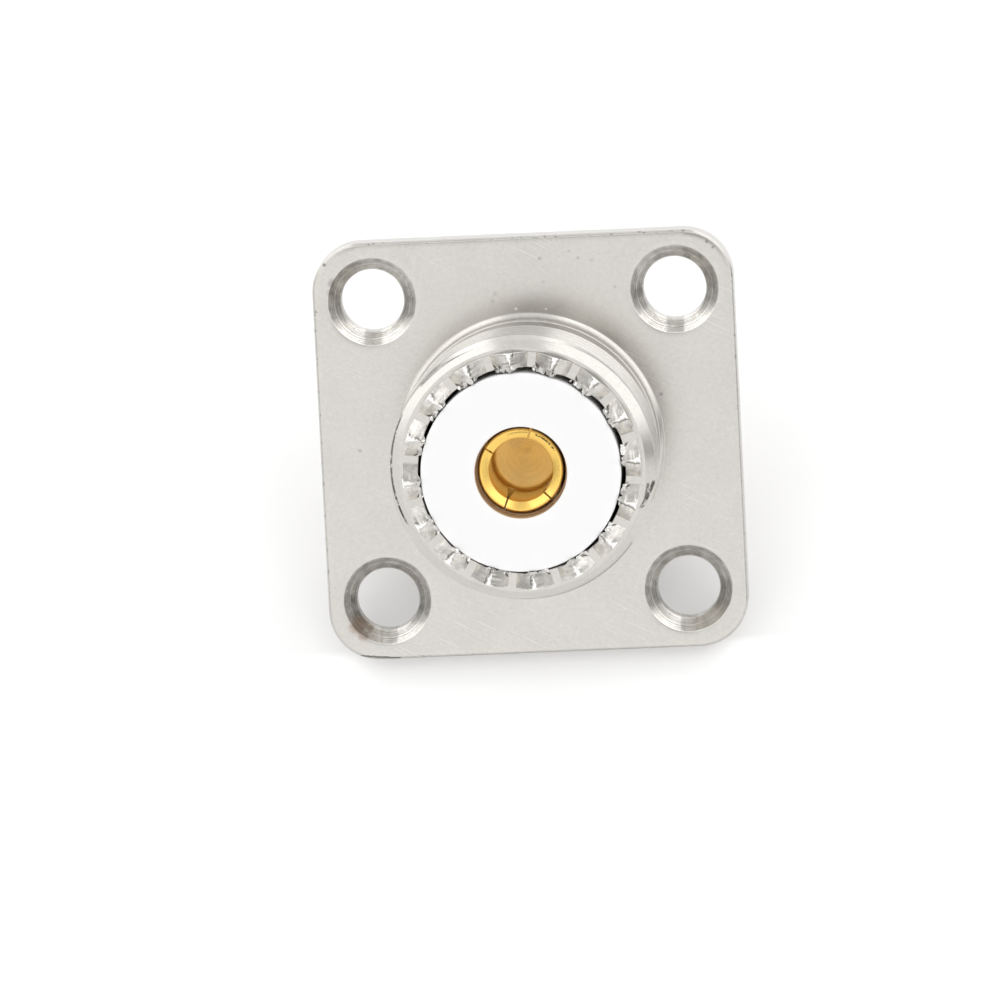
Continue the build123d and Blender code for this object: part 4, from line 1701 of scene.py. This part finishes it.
@dataclass
class Room:
    """The white room: a floor that the jack leans on, and soft light all round.

    Each row of light is a table of (share of a full turn, brightness). Levels of the glow are in
    millimetres, levels of the light are heights on a ball of radius 1, angles are in degrees.
    """

    floor_size: float = 1.2
    paper: float = 0.88
    paper_glow: tuple[float, float] = (0.09, 0.25)
    glow_levels: tuple[float, float] = (-0.3, 0.3)
    level: float = 1.03
    horizon: tuple = ((0.0, 1.0), (0.12, 0.95), (0.25, 1.05), (0.40, 0.75), (0.45, 0.5), (0.49, 0.38),
                      (0.55, 1.6), (0.705, 1.7), (0.722, 1.0), (0.782, 1.0), (0.80, 1.7), (0.92, 1.5),
                      (1.0, 1.0))
    middle: tuple = ((0.0, 0.42), (0.042, 0.45), (0.103, 0.75), (0.167, 0.82), (0.228, 0.65), (0.292, 0.6),
                     (0.353, 0.75), (0.417, 0.46), (0.478, 0.40), (0.539, 0.6), (0.603, 0.6), (0.728, 0.58),
                     (0.853, 0.6), (0.917, 0.58), (0.978, 0.42), (1.0, 0.42))
    upper: tuple = ((0.0, 0.9), (0.44, 0.9), (0.5, 0.8), (0.542, 1.1), (0.583, 1.6), (0.694, 1.6),
                    (0.717, 0.85), (0.75, 0.8), (0.786, 0.85), (0.806, 1.6), (0.903, 1.6), (0.944, 1.1),
                    (1.0, 0.9))
    ceiling: float = 1.1
    layer_levels: tuple = ((0.15, 0.28), (0.36, 0.46), (0.72, 0.85))
    lens_edge: float = 14.0
    lens_dark: float = 0.6

    def floor(self, edge: tuple[float, float], end: tuple[float, float]) -> bpy.types.Object:
        """Lays the floor under the flange's lower edge and the solder cup's end.

        Args:
            edge: the flange's (y, z) that touches it, in millimetres.
            end: the cup's (y, z) that touches it, in millimetres.

        Returns:
            The floor.
        """
        a = np.array([0, *edge]) * MM
        b = np.array([0, *end]) * MM
        along = (b - a) / np.linalg.norm(b - a)
        half = self.floor_size / 2
        across = np.array([half, 0, 0])
        corners = np.array([a - across - along * half, a + across - along * half,
                            a + across + along * half, a - across + along * half])
        mesh = bpy.data.meshes.new("floor")
        mesh.from_pydata(corners.tolist(), [], [[0, 1, 2, 3]])
        if mesh.polygons[0].normal.z < 0:
            mesh.flip_normals()
        floor = bpy.data.objects.new("floor", mesh)
        bpy.context.scene.collection.objects.link(floor)
        mesh.materials.append(self.floor_material())
        return floor

    def floor_material(self) -> bpy.types.Material:
        """Makes matt white paper that looks lit to the camera and clear from behind, its glow painted weaker behind
        the flange's front plane and stronger in front of it.

        Returns:
            The material.
        """
        material = bpy.data.materials.new("white_paper")
        web = open_nodes(material)
        seen = web.value("ShaderNodeLightPath", output="Is Camera Ray")
        level = web.separate(web.value("ShaderNodeTexCoord", output="Object"))[2]
        near, far = self.paper_glow
        low, high = self.glow_levels
        # Painted light and shade: the glow is weaker behind the flange's front plane, where the floor is seen
        # through the holes, and stronger in front, where it fades the shadow below the lower edge.
        strength = (level.rise(low * MM, high * MM) * (far - near) + near) * seen
        paper = web.value("ShaderNodeBsdfDiffuse", {"Color": (self.paper, self.paper, self.paper, 1)})
        glow = web.value("ShaderNodeEmission", {"Strength": strength})
        lit = web.value("ShaderNodeAddShader", {0: paper, 1: glow})
        hidden = web.value("ShaderNodeNewGeometry", output="Backfacing") * seen
        clear = web.value("ShaderNodeBsdfTransparent")
        surface = web.value("ShaderNodeMixShader", {0: hidden, 1: lit, 2: clear})
        web.add("ShaderNodeOutputMaterial", {"Surface": surface})
        return material

    def sky(self, camera_way: tuple[float, float, float]) -> None:
        """Surrounds the jack with white light.

        The light stands in four layers over one another, each uneven round the room, and is
        dimmer where the camera stands. A layer takes over from the one below between its levels.

        Args:
            camera_way: the direction from the jack to the camera.
        """
        world = bpy.data.worlds.new("white room")
        bpy.context.scene.world = world
        web = open_nodes(world)
        way = web.value("ShaderNodeTexCoord", output="Generated")
        level = web.separate(way)[2]
        turn = web.bearing(way, 0.0) / 360.0 + 0.5
        light = web.ramp(turn, self.horizon)
        for (low, high), stops in zip(self.layer_levels, (self.middle, self.upper)):
            light = web.blend(level.rise(low, high), light, web.ramp(turn, stops))
        overhead = level.rise(*self.layer_levels[-1])
        light = web.blend(overhead, light, (self.ceiling, self.ceiling, self.ceiling, 1))
        edge = math.radians(self.lens_edge)
        toward = web.vector("DOT_PRODUCT", way, camera_way)
        lens = toward.rise(math.cos(edge), math.cos(edge / 2)) * self.lens_dark
        seen = web.value("ShaderNodeLightPath", output="Is Camera Ray")
        strength = light * ((1.0 - lens) * self.level) * (1.0 - seen) + seen
        glow = web.value("ShaderNodeBackground", {"Color": (1, 1, 1, 1), "Strength": strength})
        web.add("ShaderNodeOutputWorld", {"Surface": glow})


@dataclass
class Camera:
    """The camera as measured from the photograph; distances in millimetres, angles in degrees."""

    distance: float = 600.0
    lens: float = 357.55
    roll: float = 2.4218
    pitch: float = 8.5
    yaw: float = 3.0
    aside: tuple[float, float] = (1.7735, 3.3517)
    flange_front: float = 2.0
    sensor_width: float = 36.0

    def place(self) -> bpy.types.Object:
        """Stands the camera.

        The measured turn takes a point of the object to the picture's axes: first the roll
        about Z, then the pitch about X, then the yaw about Y. The camera stands at the given
        distance along the picture's own Z, so its place is that turn undone.

        Returns:
            The camera.
        """
        roll = Matrix.Rotation(math.radians(self.roll), 3, "Z")
        pitch = Matrix.Rotation(math.radians(self.pitch), 3, "X")
        yaw = Matrix.Rotation(-math.radians(self.yaw), 3, "Y")
        undo = (yaw @ pitch @ roll).transposed()
        away = undo @ Vector((-self.aside[0], -self.aside[1], self.distance))
        away.z += self.flange_front
        lens = bpy.data.cameras.new("camera")
        lens.lens = self.lens
        lens.sensor_width = self.sensor_width
        lens.clip_start = 0.01
        lens.clip_end = 10
        camera = bpy.data.objects.new("camera", lens)
        camera.matrix_world = Matrix.Translation(away * MM) @ undo.to_4x4()
        bpy.context.scene.collection.objects.link(camera)
        bpy.context.scene.camera = camera
        return camera


def write_sizes() -> None:
    """Updates the view layer after the build."""
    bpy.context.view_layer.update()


def main() -> None:
    """Builds the pieces in order, then the room, the light and the camera."""
    logging.basicConfig(level=logging.INFO, format="%(message)s")
    bpy.context.scene.view_settings.view_transform = "Standard"
    effects = Effects()
    nickel = PlatedNickel("nickel", colour=(0.64, 0.62, 0.584), roughness=0.2).make(effects)
    white = WhitePlastic("white_plastic", colour=(0.985, 0.985, 0.98), roughness=0.42).make(effects)
    gold = Gilding("gold", colour=(0.99, 0.655, 0.172), roughness=0.2).make(effects)
    spring = Finish("spring_steel", colour=(0.42, 0.41, 0.40), roughness=0.3).make(effects)

    screws = stated_mount("flange_screws")["dims"]
    low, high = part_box("shell")
    shell = Shell(
        spacing=screws["spacing_x_mm"],
        hole_radius=screws["hole_r_mm"],
        thread_radius=stated_mount("coupling_thread")["dims"]["r_mm"],
        side=(high.x - low.x) / MM,
        tip=high.z / MM,
        end=low.z / MM,
    )
    dress(shell.make(), nickel, "shell")

    rear, front = node_levels("front_insulator")
    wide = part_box("front_insulator")[1].x / MM
    sleeve = FrontInsulator("front_insulator_body", rear, front, wide, lean=Lean(shift=(-0.05, -0.08)))
    dress(sleeve.make(), white, "front_insulator")

    rear, front = node_levels("rear_insulator")
    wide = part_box("rear_insulator")[1].x / MM
    disc = RearInsulator("rear_insulator_body", rear, front, wide)
    dress(disc.make(), white, "rear_insulator")

    rear, front = node_levels("centre_contact")
    cup = stated_mount("solder_cup")["dims"]
    grip = stated_mount("contact_grip")["dims"]
    contact = CentreContact(
        front=front,
        end=rear,
        collar_radius=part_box("centre_contact")[1].x / MM,
        cup_bore=cup["r_mm"],
        cup_depth=cup["length_mm"],
        grip_radius=grip["r_mm"],
        grip_length=grip["length_mm"],
    )
    dress(contact.make(), gold, "centre_contact")

    rear, front = node_levels("retaining_ring")
    ring = RetainingRing(rear=rear, front=front, outer=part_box("retaining_ring")[1].x / MM)
    dress(ring.make(), spring, "retaining_ring")

    room = Room()
    room.floor(edge=(-shell.side / 2, 0.0), end=(-contact.cup_radius, contact.end))
    eye = Camera().place()
    room.sky(tuple(eye.location.normalized()))
    write_sizes()


if __name__ == "__main__":
    main()
